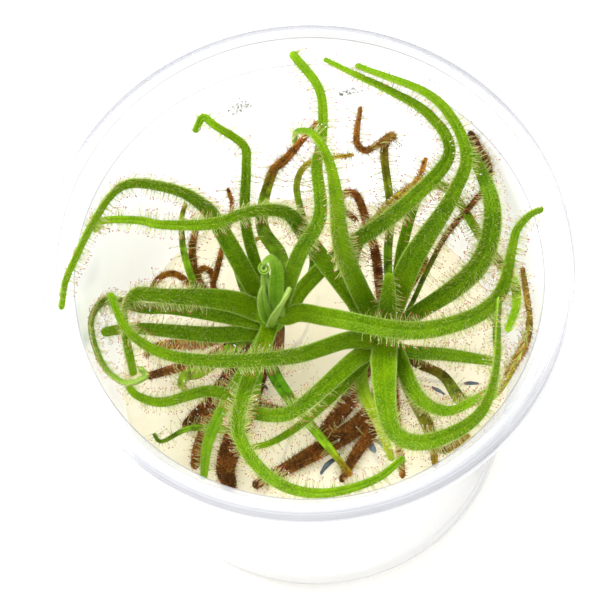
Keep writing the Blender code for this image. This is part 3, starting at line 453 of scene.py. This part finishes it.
# Colours from base to tip, of the leaves that differ from their kind
colours = {
    "young": "86a84c 6c9c26 628f1c 86aa48",
    "young_inner": "86a84c 7ea044 8cae54",
    "bract_right": "6e9418 94b454 a6c070", "bract_left": "668e12 86ac44 98b65e",
    "sprig": "7f8c2a 9aa03a 8f8c30",
    "low_tip": "5a7a0c 5f7c0e 7a6a20 8a3a24",
    "dry_tip": "5a7a0c 4f6a10 5a4a1c 5a3f20 4a341c",
    "left_loop": "527400 486a00 547a00 80a448",
    "back_hook": "527600 608400 6a9000 5c8400",
    "right_fold": "4e7200 446000 446600 507800",
    "front_low": "6f9f1e 7fa016 8a9a1a 7c8c1c",
    "front_left_low": "5c8c0e 669610 70a016 74a01c",
    "back_tipped": "4f8408 64960e a8a826 b0601c",
    "back_thin": "7a5a20 528208 5f9210 a0a030 b0903a",
    "back_brown": "5a3c18 587c10 648c14 6a9014 90641e 8c541c 804c1c",
    "back_hooked": "4f7c0c 5f8a10 6f9418 7c9020 8a7a24 80501e 8c642c",
    "back_noose": "7c4420 925426 9c6028 a8763a",
    "left_olive": "5f8a10 6a9414 70961a 8a9e2a",
    "left_flat": "6a4418 64401a 745022 5c3c1a",
    "front_yellow": "4a7010 5a9c08 64a00c 7aa414 b8741c",
    "front_dark": "3f3014 4a3618 5a421a 4a3018",
    "front_left_whip": "5c8c10 629410 6e9c18 78a020",
    "front_olive": "5f7a1c 6f8420 8a8f24 7a6a20",
    "right_wall": "5a3416 6f8c1c a8a82a 5a3416",
    "left_pale": "6f8f1c 6f9c16 76a41c 8f9a2a",
    **dict.fromkeys(("mat_long", "mat_short", "mat_front", "front_mat", "front_left_broad"),
                    "42290f 5c3a12 744a1a 503214"),
    "left_stub": "5a481a 64801c 70941c 7a6a20",
}

# Fine leaf section: across the blade, and up or down by this share of the half thickness
leafSection = [
    (-1, 0), (-0.93, 0.6), (-0.75, 0.95), (-0.4, 1), (-0.12, 0.9), (0, 0.55), (0.12, 0.9), (0.4, 1),
    (0.75, 0.95), (0.93, 0.6), (1, 0), (0.93, -0.6), (0.7, -0.95), (0.35, -1), (0.12, -1.15), (0, -1.3),
    (-0.12, -1.15), (-0.35, -1), (-0.7, -0.95), (-0.93, -0.6)]
fresh = {"name": "green_", "node": "rosette_", "slot": "green_leaf",
         "roots": (39, 42), "step": 3.6, "face": Vector((0, -0.38, 0.93)), "edgeways": 0.35,
         "material": living, "colours": "5e7e00 4c7000 567a00 6e9a04",
         "start": 0.26, "density": 1.0, "fuller": 1.14,
         "blade": {"Channel": 0.13, "Midrib Thickness": mm(0.85), "Margin Thickness": mm(0.45),
                   "Ripple": mm(0.5)},
         "tentacles": {"Density": 1.4e7, "Smallest": 0.42, "Largest": 0.82, "Sway": 0.28, "Seed": 4},
         "hair": {"Density": 2.2e7, "Smallest": 0.2, "Largest": 0.42, "Sway": 0.5, "Seed": 9}}
withered = {"name": "withered_", "node": "stem_", "slot": "withered_leaf",
            "roots": (31, 35.8), "step": 5, "face": Vector((0, 0, 1)), "edgeways": 0.9,
            "material": dried, "colours": "5c3c10 8a5c16 a8741e 785014",
            "start": 0.2, "density": 0.3, "fuller": 1.0,
            "blade": {"Channel": 0.2, "Midrib Thickness": mm(1), "Margin Thickness": mm(0.5),
                      "Ripple": mm(1.3)},
            "tentacles": {"Density": 7.0e6, "Smallest": 0.6, "Largest": 1.0, "Sway": 0.4, "Seed": 4},
            "hair": {"Density": 1.7e7, "Smallest": 0.4, "Largest": 1.1, "Sway": 0.7, "Seed": 9}}
# How routes are smoothed and rooted, how blades turn, end and curl, and how tentacles and hair stand and
# crowd at the margin
growth = {"spacing": 0.6, "lowest": gelTop + 1.1, "beside": 2.4, "root": 1.2, "narrowest": 0.8,
          "corner": 26, "cornerPart": 3, "lastPart": 4, "swing": 4, "mostSwing": 3, "hold": 0.35,
          "tip": (0.3, 0.55, 0.75, 0.9, 0.98), "browning": 0.08, "onset": 0.1, "face": 0.1, "bushy": 1.3,
          "outwards": 1.25, "lean": 0.45, "short": 0.62,
          "splay": 1.5, "curl": 1.6, "crowding": 4, "downiness": 5}


def smoothLine(points):
    ends = [points[0] * 2 - points[1], *points, points[-1] * 2 - points[-2]]
    route = []
    for span in zip(ends, ends[1:], ends[2:], ends[3:]):
        knots = [0.0]
        for a, b in zip(span, span[1:]):
            knots.append(knots[-1] + math.sqrt((b - a).length))
        steps = max(2, round((span[2] - span[1]).length / growth["spacing"]))
        for i in range(steps):
            t = between(knots[1], knots[2], i / steps)
            level = span
            for reach in (1, 2):
                level = [between(level[j], level[j + 1], (t - knots[j]) / (knots[j + reach] - knots[j]))
                         for j in range(len(level) - 1)]
            route.append(between(*level, i / steps))
    return route + [points[-1]]


def rooted(points, side, low, high):
    centre = Vector(stems[side])
    points = [Vector(point) for point in points]
    base = points[0]
    height = min(max(base.z, low), high)
    if (base.xy - centre).length < growth["beside"]:
        base.z = height
        return points
    out = (base.xy - centre).normalized() * growth["root"]
    return [Vector((*(centre + out), height, base.w)), *points]


# Upper side's direction at every point of a route, turned as the model's own sections are
def upwards(name, route, kind):
    places = [p.xyz for p in route]
    ways = [(b - a).normalized() for a, b in zip(places[:1] + places[:-1], places[1:] + places[-1:])]
    chosen, travelled = [0], 0.0
    for i in range(1, len(route)):
        travelled += (places[i] - places[i - 1]).length
        bend = math.degrees(ways[i].angle(ways[chosen[-1]]))
        if i == len(route) - 1 or travelled > kind["step"] or (
                bend > growth["corner"] and travelled > kind["step"] / growth["cornerPart"]):
            chosen.append(i)
            travelled = 0.0
    if (places[chosen[-1]] - places[chosen[-2]]).length < kind["step"] / growth["lastPart"]:
        chosen.pop(-2)
    length = [0.0]
    for a, b in zip(chosen, chosen[1:]):
        length.append(length[-1] + (places[b] - places[a]).length)
    carried = kind["face"].copy()
    ups = []
    for k, i in enumerate(chosen):
        after, before = min(k + 1, len(chosen) - 1), max(k - 1, 0)
        turn = ways[chosen[after]] - ways[chosen[before]]
        sharpness = turn.length / (length[after] - length[before]) * max(route[i].w, growth["narrowest"])
        bend = turn.normalized() * min(max((sharpness - kind["edgeways"]) * growth["swing"], 0),
                                       0 if name in flat else growth["mostSwing"])
        if bend.dot(carried) < 0:
            bend = -bend
        up = carried + kind["face"] * growth["hold"] + bend
        carried = (up - ways[i] * up.dot(ways[i])).normalized()
        turned = Quaternion(ways[i], math.radians(roll.get(name, 0)) * length[k] / length[-1])
        ups.append(turned @ carried)
    fine = []
    for (a, b), (upA, upB) in zip(zip(chosen, chosen[1:]), zip(ups, ups[1:])):
        for i in range(a, b):
            up = upA.lerp(upB, (i - a) / (b - a))
            fine.append((up - ways[i] * up.dot(ways[i])).normalized())
    fine.append(ups[-1])
    return places, ways, fine


def softened(values, times=3):
    for _ in range(times):
        middle = [(a + b * 2 + c).normalized() for a, b, c in zip(values, values[1:], values[2:])]
        values = [values[0], *middle, values[-1]]
    return values


# Rings of vertices on a leaf's middle line; the node tree spreads them to the blade's shape
class Skeleton:
    def __init__(self):
        self.bm = bmesh.new()
        layers = self.bm.verts.layers
        kinds = {"across margin tentacles fuzz dryness": layers.float, "leafColour": layers.float_color,
                 "sideways upward lifts reach": layers.float_vector}
        self.layers = {name: kind.new(name) for names, kind in kinds.items() for name in names.split()}

    def ring(self, place, up, way, half, along, thin, stops, kind, hairy):
        side = way.cross(up)
        share = min(along, 0.999) * (len(stops) - 1)
        tone = Vector(stops[int(share)]).lerp(Vector(stops[int(share) + 1]), share % 1)
        # Dry where the colour is redder than green
        dryness = min(max((tone[0] - tone[1]) / growth["browning"] + 0.5, 0.0), 1.0)
        bearing = min(max((along - kind["start"]) / growth["onset"], 0), 1) * hairy if thin > 0.5 else 0
        ring = []
        for across, level in leafSection:
            margin = abs(across)
            outwards = math.copysign(margin ** growth["splay"], across) * growth["outwards"]
            values = {
                "across": across, "margin": margin, "dryness": dryness, "leafColour": tone, "upward": up,
                "tentacles": (bearing * between(growth["face"], 1, margin ** growth["crowding"])
                              if level >= 0 else 0),
                "fuzz": (margin ** growth["downiness"] if kind is fresh
                         else dryness * min(half / growth["bushy"], 1.0)),
                "sideways": side * mm(half) * across,
                # Shares of the tree's channel, midrib thickness and margin thickness
                "lifts": (mm(half) * 2 * margin ** growth["curl"], thin * level * (1 - margin) / 2,
                          thin * level * margin / 2),
                "reach": ((side * outwards + up * between(1, growth["lean"], margin))
                          * between(growth["short"], 1, margin))}
            ring.append(self.bm.verts.new(mm(place)))
            for name, value in values.items():
                ring[-1][self.layers[name]] = value
        return ring

    def join(self, rings):
        joinRings(self.bm, rings, len(leafSection))
        self.bm.faces.new(rings[0])
        self.bm.faces.new(reversed(rings[-1]))

    def leaf(self, name, points, side, kind):
        route = smoothLine(rooted(points, side, *kind["roots"]))
        for point in route:
            point.z = max(point.z, growth["lowest"])
        places, ways, ups = upwards(name, route, kind)
        ups = softened(ups)
        widths = [max(p.w, growth["narrowest"]) * kind["fuller"] for p in route]
        end, way, last = places[-1], ways[-1], widths[-1]
        for step in growth["tip"]:
            places.append(end + way * last / 2 * step)
            ways.append(way)
            ups.append(ups[-1])
            widths.append(last * math.sqrt(1 - step * step))
        stops = [srgb(text) for text in colours.get(name, kind["colours"]).split()]
        hairy = kind["density"] * bareness.get(name, 1.0)
        rings = []
        for i, place in enumerate(places):
            thin = min(widths[i] / widths[min(i, len(route) - 1)], 1.0)
            up = (ups[i] - ways[i] * ups[i].dot(ways[i])).normalized()
            rings.append(self.ring(place, up, ways[i], widths[i] / 2, i / (len(places) - 1), thin, stops,
                                   kind, hairy))
        self.join(rings)


# A node tree with these inputs, its inputs' sockets, and the attributes that it reads
def newTree(name, attributes, **inputs):
    tree = bpy.data.node_groups.new(name, "GeometryNodeTree")
    for way in ("INPUT", "OUTPUT"):
        tree.interface.new_socket("Geometry", in_out=way, socket_type="NodeSocketGeometry")
    for title, kind in inputs.items():
        tree.interface.new_socket(title.replace("_", " "), in_out="INPUT", socket_type="NodeSocket" + kind)
    return tree, add(tree, "NodeGroupInput").node.outputs, *(
        add(tree, "GeometryNodeInputNamedAttribute", {"Name": a}, data_type=kind) for a, kind in attributes)


# Realises and gives materials: the first to all, the others where a named attribute is over a half
def endTree(tree, geometry, *materials):
    current = add(tree, "GeometryNodeRealizeInstances", {"Geometry": geometry})
    for material, name in materials:
        chosen = True
        if name:
            share = add(tree, "GeometryNodeInputNamedAttribute", {"Name": name}, data_type="FLOAT")
            chosen = add(tree, "FunctionNodeCompare", {"A": share, "B": 0.5}, data_type="FLOAT",
                         operation="GREATER_THAN")
        current = add(tree, "GeometryNodeSetMaterial",
                      {"Geometry": current, "Selection": chosen, "Material": material})
    add(tree, "NodeGroupOutput", {0: current})
    return tree


# A plain mesh object of what the tree makes from the base object
def grow(base, tree, values, name):
    step = base.modifiers.new("grow", "NODES")
    step.node_group = tree
    for item in tree.interface.items_tree:
        if item.in_out == "INPUT" and item.name in values:
            step[item.identifier] = values[item.name]
    graph = bpy.context.evaluated_depsgraph_get()
    mesh = bpy.data.meshes.new_from_object(base.evaluated_get(graph), depsgraph=graph)
    mesh.name = name
    base.modifiers.remove(step)
    return link(bpy.data.objects.new(name, mesh))


# The same from a helper mesh, which goes when the piece is made
def grown(bm, tree, values, name, material):
    base = objectOf(bm, name + "_base", material)
    made = grow(base, tree, values, name)
    bpy.data.objects.remove(base)
    return made


def bladeTree(material):
    tree, given, sideways, upward, lifts, margin = newTree(
        "leaf blade", (("sideways", "FLOAT_VECTOR"), ("upward", "FLOAT_VECTOR"), ("lifts", "FLOAT_VECTOR"),
                       ("margin", "FLOAT")),
        Channel="Float", Midrib_Thickness="Float", Margin_Thickness="Float", Ripple="Float")
    sizes = add(tree, "ShaderNodeCombineXYZ", {"X": given["Channel"], "Y": given["Midrib Thickness"],
                                               "Z": given["Margin Thickness"]})
    shape = add(tree, "ShaderNodeVectorMath", {0: lifts, 1: sizes}, operation="DOT_PRODUCT")
    wave = add(tree, "ShaderNodeTexNoise", {"Scale": 1 / mm(5.9), "Detail": 1.0})
    wave = add(tree, "ShaderNodeMath", {0: wave, 1: 0.5}, operation="SUBTRACT")
    ripple = add(tree, "ShaderNodeMath", {0: given["Ripple"], 1: margin}, operation="MULTIPLY")
    lift = add(tree, "ShaderNodeMath", {0: wave, 1: ripple, 2: shape}, operation="MULTIPLY_ADD")
    offset = add(tree, "ShaderNodeVectorMath", {0: upward, 1: lift, 2: sideways}, operation="MULTIPLY_ADD")
    moved = add(tree, "GeometryNodeSetPosition", {"Geometry": given["Geometry"], "Offset": offset})
    return endTree(tree, add(tree, "GeometryNodeSetShadeSmooth", {"Geometry": moved}), (material, None))


# One tentacle along +Z: a thin bent stalk with a gland, or a drop of dew, at its end
def tentaclePattern(name, material, bend, head, dewy):
    tentacle = {"length": 1.9, "stalk": ((0.0, 0.08), (0.45, 0.05), (0.97, 0.036)), "sides": 3,
                "head": ((-1, 0), (-0.5, 0.87), (0.5, 0.87), (1, 0)), "headSides": 4, "headLength": 1.3}
    bm = bmesh.new()
    layers = [bm.verts.layers.float.new(title) for title in ("rise", "gland", "dew")]

    def ring(x, z, radius, count, marks):
        made = []
        for i in range(count if radius else 1):
            made.append(bm.verts.new(mm(around(radius, 2 * math.pi * i / count, z) + Vector((x, 0, 0)))))
            for layer, value in zip(layers, marks):
                made[-1][layer] = value
        return made

    stalk = [ring(bend * share ** 2, tentacle["length"] * share, radius, tentacle["sides"], (share, 0, 0))
             for share, radius in tentacle["stalk"]]
    joinRings(bm, stalk, tentacle["sides"])
    top = [ring(bend, tentacle["length"] + head * tentacle["headLength"] * height, head * radius,
                tentacle["headSides"], (1, not dewy, dewy)) for height, radius in tentacle["head"]]
    joinRings(bm, top, tentacle["headSides"])
    return objectOf(bm, name, material)


def hairPattern(name, material, bend):
    hair = {"radius": 0.06, "length": 1.0, "sides": 3}
    bm = bmesh.new()
    foot = [bm.verts.new(mm(around(hair["radius"], 2 * math.pi * i / hair["sides"], 0)))
            for i in range(hair["sides"])]
    tip = bm.verts.new(mm(Vector((bend, 0, hair["length"]))))
    joinRings(bm, [foot, [tip]], hair["sides"])
    return objectOf(bm, name, material)


# Scatters patterns as densely as the attribute says, along the face's normal or the face's own reach
def scatterTree(title, patterns, materials, spread="tentacles", square=False):
    tree, given, share, reach = newTree(
        title, ((spread, "FLOAT"), ("reach", "FLOAT_VECTOR")), Density="Float", Smallest="Float",
        Largest="Float", Sway="Float", Seed="Int")
    density = add(tree, "ShaderNodeMath", {0: share, 1: given["Density"]}, operation="MULTIPLY")
    points = add(tree, "GeometryNodeDistributePointsOnFaces",
                 {"Mesh": given["Geometry"], "Density": density, "Seed": given["Seed"]})
    if square:
        reach = points.node.outputs["Normal"]
    sway = add(tree, "FunctionNodeRandomValue", {"Min": (-1.0, -1.0, -1.0), "Max": (1.0, 1.0, 1.0)},
               data_type="FLOAT_VECTOR")
    aim = add(tree, "ShaderNodeVectorMath", {0: sway, 1: given["Sway"], 2: reach}, operation="MULTIPLY_ADD")
    length = add(tree, "ShaderNodeVectorMath", {0: reach}, operation="LENGTH")
    size = add(tree, "FunctionNodeRandomValue",
               {"Min": given["Smallest"], "Max": given["Largest"], "Seed": 3}, data_type="FLOAT")
    picked = add(tree, "FunctionNodeRandomValue", {"Min": 0, "Max": len(patterns.objects) - 1, "Seed": 5},
                 data_type="INT")
    source = add(tree, "GeometryNodeCollectionInfo",
                 {"Collection": patterns, "Separate Children": True, "Reset Children": True})
    placed = add(tree, "GeometryNodeInstanceOnPoints", {
        "Points": points, "Instance": source, "Pick Instance": True, "Instance Index": picked,
        "Rotation": add(tree, "FunctionNodeAlignRotationToVector", {"Vector": aim}, axis="Z"),
        "Scale": add(tree, "ShaderNodeMath", {0: size, 1: length}, operation="MULTIPLY")})
    smooth = add(tree, "GeometryNodeSetShadeSmooth",
                 {"Geometry": add(tree, "GeometryNodeRealizeInstances", {"Geometry": placed})})
    return endTree(tree, smooth, *materials)


def patternSet(name, objects):
    group = bpy.data.collections.new(name)
    for obj in objects:
        bpy.context.scene.collection.objects.unlink(obj)
        group.objects.link(obj)
    return group


def triangles(obj):
    return sum(len(face.vertices) - 2 for face in obj.data.polygons)


# Tentacles: how far each kind bends, its head's radius and whether the head is a drop of dew
tentacles = [(0.1, 0.115, 0), (0.45, 0.1, 0), (0.8, 0.12, 0), (-0.3, 0.1, 0), (0.3, 0.125, 0),
             (0.6, 0.095, 0), (0, 0.11, 0), (0.2, 0.14, 1)]
tentacleTree = scatterTree("tentacles", patternSet("tentacle shapes", [
    tentaclePattern("tentacle_" + letter, stalk, *shape) for letter, shape in zip("abcdefgh", tentacles)]),
    [(stalk, None), (gland, "gland"), (dew, "dew")])
for kind, look in ((fresh, down), (withered, fuzz)):
    hairs = patternSet(kind["name"] + "hair shapes", [
        hairPattern(kind["name"] + "hair_" + letter, look, bend)
        for letter, bend in (("a", 0.1), ("b", 0.35))])
    kind["hairTree"] = scatterTree(kind["name"] + "hair", hairs, [(look, None)], "fuzz", True)
    kind["tree"] = bladeTree(kind["material"])

for side, green, old in (("left", leftLeaves, leftOld), ("right", rightLeaves, rightOld)):
    for kind, routes in ((fresh, green), (withered, old)):
        skeleton = Skeleton()
        for name, points in routes.items():
            skeleton.leaf(name, points, side, kind)
        title = kind["name"] + side
        blade = grown(skeleton.bm, kind["tree"], kind["blade"], kind["name"] + "leaves_" + side,
                      kind["material"])
        fringe = grow(blade, tentacleTree, kind["tentacles"], "tentacles_" + title)
        hair = grow(blade, kind["hairTree"], kind["hair"], "hair_" + title)
        ridden(blade, kind["slot"], kind["node"] + side)
        ridden(fringe, kind["slot"])
        ridden(hair, kind["slot"])
        print(title, "leaves, tentacles and hair:", *(triangles(piece) for piece in (blade, fringe, hair)))

# Stem and heart of each plant
middle = {"sides": 32, "rounding": 0.8, "pieces": {
    "stem_body_": (withered, "6a4418", [
        (0, 10), (1, 10.1), (2, 12), (2.2, 14), (2.2, gelTop + 1.5), (2.5, 30), (2.7, 34.3), (2.4, 36.8),
        (1.6, 37.3), (0, 37.3)]),
    "heart_": (fresh, "5a9408", [(0, 37.6), (2.2, 37.6), (3.1, 39.2), (2.5, 42.1), (0, 43.6)])}}
for side, centre in stems.items():
    for title, (kind, tone, profile) in middle["pieces"].items():
        bm = lathe(rounded(profile, middle["rounding"]), middle["sides"], centre)
        piece = objectOf(bm, title + side, kind["material"])
        tint = piece.data.color_attributes.new("leafColour", "FLOAT_COLOR", "POINT")
        for item in tint.data:
            item.color = srgb(tone)
        dryness = piece.data.attributes.new("dryness", "FLOAT", "POINT")
        for item in dryness.data:
            item.value = 1.0
        ridden(piece, kind["slot"])

# Furled tip of the young leaf: a small spiral of narrow blade
coil = {"middle": Vector((-8.4, 9.7, 55)), "turns": 1.9, "start": 1.5, "outer": 1.1, "inner": 0.25,
        "slope": (0.95, 0.3), "width": 1.4, "thin": 0.7, "rings": 48, "colours": "5a8c22 86aa50 a4bf70"}
skeleton = Skeleton()
rings = []
back, rise = coil["slope"]
for i in range(coil["rings"]):
    share = i / (coil["rings"] - 1)
    angle = coil["start"] + share * coil["turns"] * 2 * math.pi
    out = Vector((math.cos(angle), math.sin(angle) * back, math.sin(angle) * rise))
    way = Vector((-math.sin(angle), math.cos(angle) * back, math.cos(angle) * rise)).normalized()
    place = coil["middle"] + out * between(coil["outer"], coil["inner"], share)
    rings.append(skeleton.ring(place, (out - way * out.dot(way)).normalized(), way, coil["width"] / 2, share,
                               coil["thin"], [srgb(text) for text in coil["colours"].split()], fresh, 0.0))
skeleton.join(rings)
ridden(grown(skeleton.bm, fresh["tree"], fresh["blade"], "young_coil", fresh["material"]), "green_leaf")
print("stems and bud made")

# Roots at the gel's surface, and some seen only from the side: (x, y, height, width) points
roots = {"Thickness": mm(0.5), "Spacing": mm(0.6), "Knobbliness": mm(0.5)}
rootRoutes = [
    [(14.5, -0.5, 14, 1.2), (11, -8, 17, 1.1), (8.6, -12.4, 21.2, 1.2), (9.3, -14.4, 21.5, 1.6),
     (10.4, -16.4, 21.4, 1.4), (11.4, -19.3, 20.5, 0.6)],
    [(9.4, -14.2, 21.5, 1), (12.2, -15.6, 21.5, 0.9), (13.8, -18.8, 20.9, 0.5)],
    [(12.5, -1, 13, 1), (6.5, -12, 18, 0.8), (3.5, -17.8, 21.4, 0.9), (1.4, -19.3, 21.6, 1),
     (0, -21, 21.4, 0.9), (-0.5, -22.5, 20.5, 0.5)],
    [(-8.5, 4, 14, 1), (-10.8, -1, 20.9, 0.6), (-10, -2.1, 21.5, 0.8), (-9.3, -3.3, 20.9, 0.4)],
    [(15.5, 0.3, 14, 1), (23, -4.3, 21.2, 0.6), (24.5, -5.2, 21.6, 0.8), (26.3, -6.5, 21.2, 0.5)],
    [(15.6, 1, 15, 1), (29.5, -4.1, 21.2, 0.6), (31.1, -4.2, 21.6, 0.8), (33.1, -4.4, 21.2, 0.5)],
    [(-7.5, 6.5, 13, 1), (-2, 12, 12, 0.6), (2, 22, 9, 0.4)],
    [(-9, 6, 13, 1), (-18, 10, 10, 0.6), (-27, 9, 7, 0.4)],
    [(14.5, 2, 13, 1), (17, 12, 10, 0.6), (14, 24, 7, 0.4)],
    [(-8, 4, 12, 1), (-6, -8, 9, 0.6), (-12, -20, 6, 0.4)]]


def tubeTree(material):
    tree, given, wide = newTree("root tube", (("wide", "FLOAT"),), Thickness="Float", Spacing="Float",
                                Knobbliness="Float")
    curve = add(tree, "GeometryNodeMeshToCurve", {"Mesh": given["Geometry"]})
    curve = add(tree, "GeometryNodeResampleCurve", {"Curve": curve, "Length": given["Spacing"]},
                mode="LENGTH")
    tube = add(tree, "GeometryNodeCurveToMesh", {
        "Curve": curve, "Fill Caps": True,
        "Profile Curve": add(tree, "GeometryNodeCurvePrimitiveCircle", {"Resolution": 10, "Radius": 1.0}),
        "Scale": add(tree, "ShaderNodeMath", {0: wide, 1: given["Thickness"]}, operation="MULTIPLY")})
    lump = add(tree, "ShaderNodeTexNoise", {"Scale": 1 / mm(1.4), "Detail": 2.0})
    lump = add(tree, "ShaderNodeMath", {0: lump, 1: 0.5}, operation="SUBTRACT")
    lump = add(tree, "ShaderNodeMath", {0: lump, 1: given["Knobbliness"]}, operation="MULTIPLY")
    offset = add(tree, "ShaderNodeVectorMath", {0: add(tree, "GeometryNodeInputNormal"), "Scale": lump},
                 operation="SCALE")
    tube = add(tree, "GeometryNodeSetPosition", {"Geometry": tube, "Offset": offset})
    return endTree(tree, add(tree, "GeometryNodeSetShadeSmooth", {"Geometry": tube}), (material, None))


bm = bmesh.new()
wide = bm.verts.layers.float.new("wide")
for points in rootRoutes:
    before = None
    for point in smoothLine([Vector(p) for p in points]):
        vert = bm.verts.new(mm(point.xyz))
        vert[wide] = point.w
        if before:
            bm.edges.new((before, vert))
        before = vert
ridden(grown(bm, tubeTree(root), roots, "roots", root), "nutrient_gel")

# Condensation: water drops on the cup's far wall, in two drifts with (angle, height) corners
condensation = {"steps": 12, "inset": 0.02, "flatness": 0.55, "thickest": 27, "thinnest": 0.25,
                "drifts": [[(111, 60), (104.8, 65.5), (100, 60)], [(82, 60.5), (75.8, 67), (69, 67)]],
                "scatter": {"Density": 3.5e6, "Smallest": 0.08, "Largest": 0.26, "Sway": 0.0, "Seed": 2}}
bm = bmesh.new()
layer = bm.verts.layers.float.new("drops")
steps = condensation["steps"]
for corners in condensation["drifts"]:
    grid = {}
    for i in range(steps + 1):
        for j in range(steps + 1 - i):
            a, b = i / steps, j / steps
            angle, height = (one * (1 - a - b) + two * a + three * b for one, two, three in zip(*corners))
            place = around(innerWall(height) - condensation["inset"], math.radians(angle), height)
            grid[i, j] = bm.verts.new(mm(place))
            grid[i, j][layer] = condensation["thickest"] * a * b * (1 - a - b) + condensation["thinnest"]
    for (i, j), vert in grid.items():
        if (i + 1, j) in grid and (i, j + 1) in grid:
            bm.faces.new((vert, grid[i + 1, j], grid[i, j + 1]))
        if (i + 1, j - 1) in grid and (i + 1, j) in grid:
            bm.faces.new((vert, grid[i + 1, j - 1], grid[i + 1, j]))
drop = bmesh.new()
bmesh.ops.create_icosphere(drop, subdivisions=2, radius=mm(1),
                           matrix=Matrix.Diagonal((1, 1, condensation["flatness"], 1)))
dropTree = scatterTree("condensation", patternSet("drop shapes", [objectOf(drop, "drop_a", water)]),
                       [(water, None)], "drops", True)
drops = ridden(grown(bm, dropTree, condensation["scatter"], "wall_drops", water), None)
print("roots and", triangles(drops), "triangles of condensation made")

# A white table under a photographer's tent
studio = {"floor": 3, "tent": {"Color": (1, 1, 1, 1), "Strength": 1.1}, "target": Vector((0, 0, 0.05)),
          "lamps": {"key": {"place": (-0.35, 0.25, 0.6), "size": 0.4, "power": 6.0},
                    "fill": {"place": (0.5, -0.3, 0.5), "size": 0.6, "power": 1.0}}}
bm = bmesh.new()
bmesh.ops.create_grid(bm, x_segments=1, y_segments=1, size=studio["floor"])
objectOf(bm, "floor", floorMaterial)
world = bpy.data.worlds.new("studio")
world.use_nodes = True
for name, value in studio["tent"].items():
    world.node_tree.nodes["Background"].inputs[name].default_value = value
bpy.context.scene.world = world
for name, lamp in studio["lamps"].items():
    light = bpy.data.lights.new(name, "AREA")
    light.size, light.energy = lamp["size"], lamp["power"]
    obj = link(bpy.data.objects.new(name, light))
    obj.location = lamp["place"]
    aim = studio["target"] - Vector(lamp["place"])
    obj.rotation_mode = "QUATERNION"
    obj.rotation_quaternion = aim.to_track_quat("-Z", "Y")

# The photo's view: high above the front, with a long lens
view = {"place": (-0.00196, -0.2147, 0.5879), "right": Vector((0.9977, -0.063, -0.0257)),
        "up": Vector((0.068, 0.924, 0.377)), "lens": 180, "sensor": 36, "clip": (0.01, 10)}
right = view["right"].normalized()
up = (view["up"] - right * view["up"].dot(right)).normalized()
camera = bpy.data.cameras.new("camera")
camera.lens, camera.sensor_width = view["lens"], view["sensor"]
camera.clip_start, camera.clip_end = view["clip"]
turn = Matrix((right, up, right.cross(up))).transposed().to_4x4()
cameraObject = link(bpy.data.objects.new("camera", camera))
cameraObject.matrix_world = Matrix.Translation(view["place"]) @ turn
bpy.context.scene.camera = cameraObject
bpy.context.scene.view_settings.view_transform = "Standard"

print("scene made")
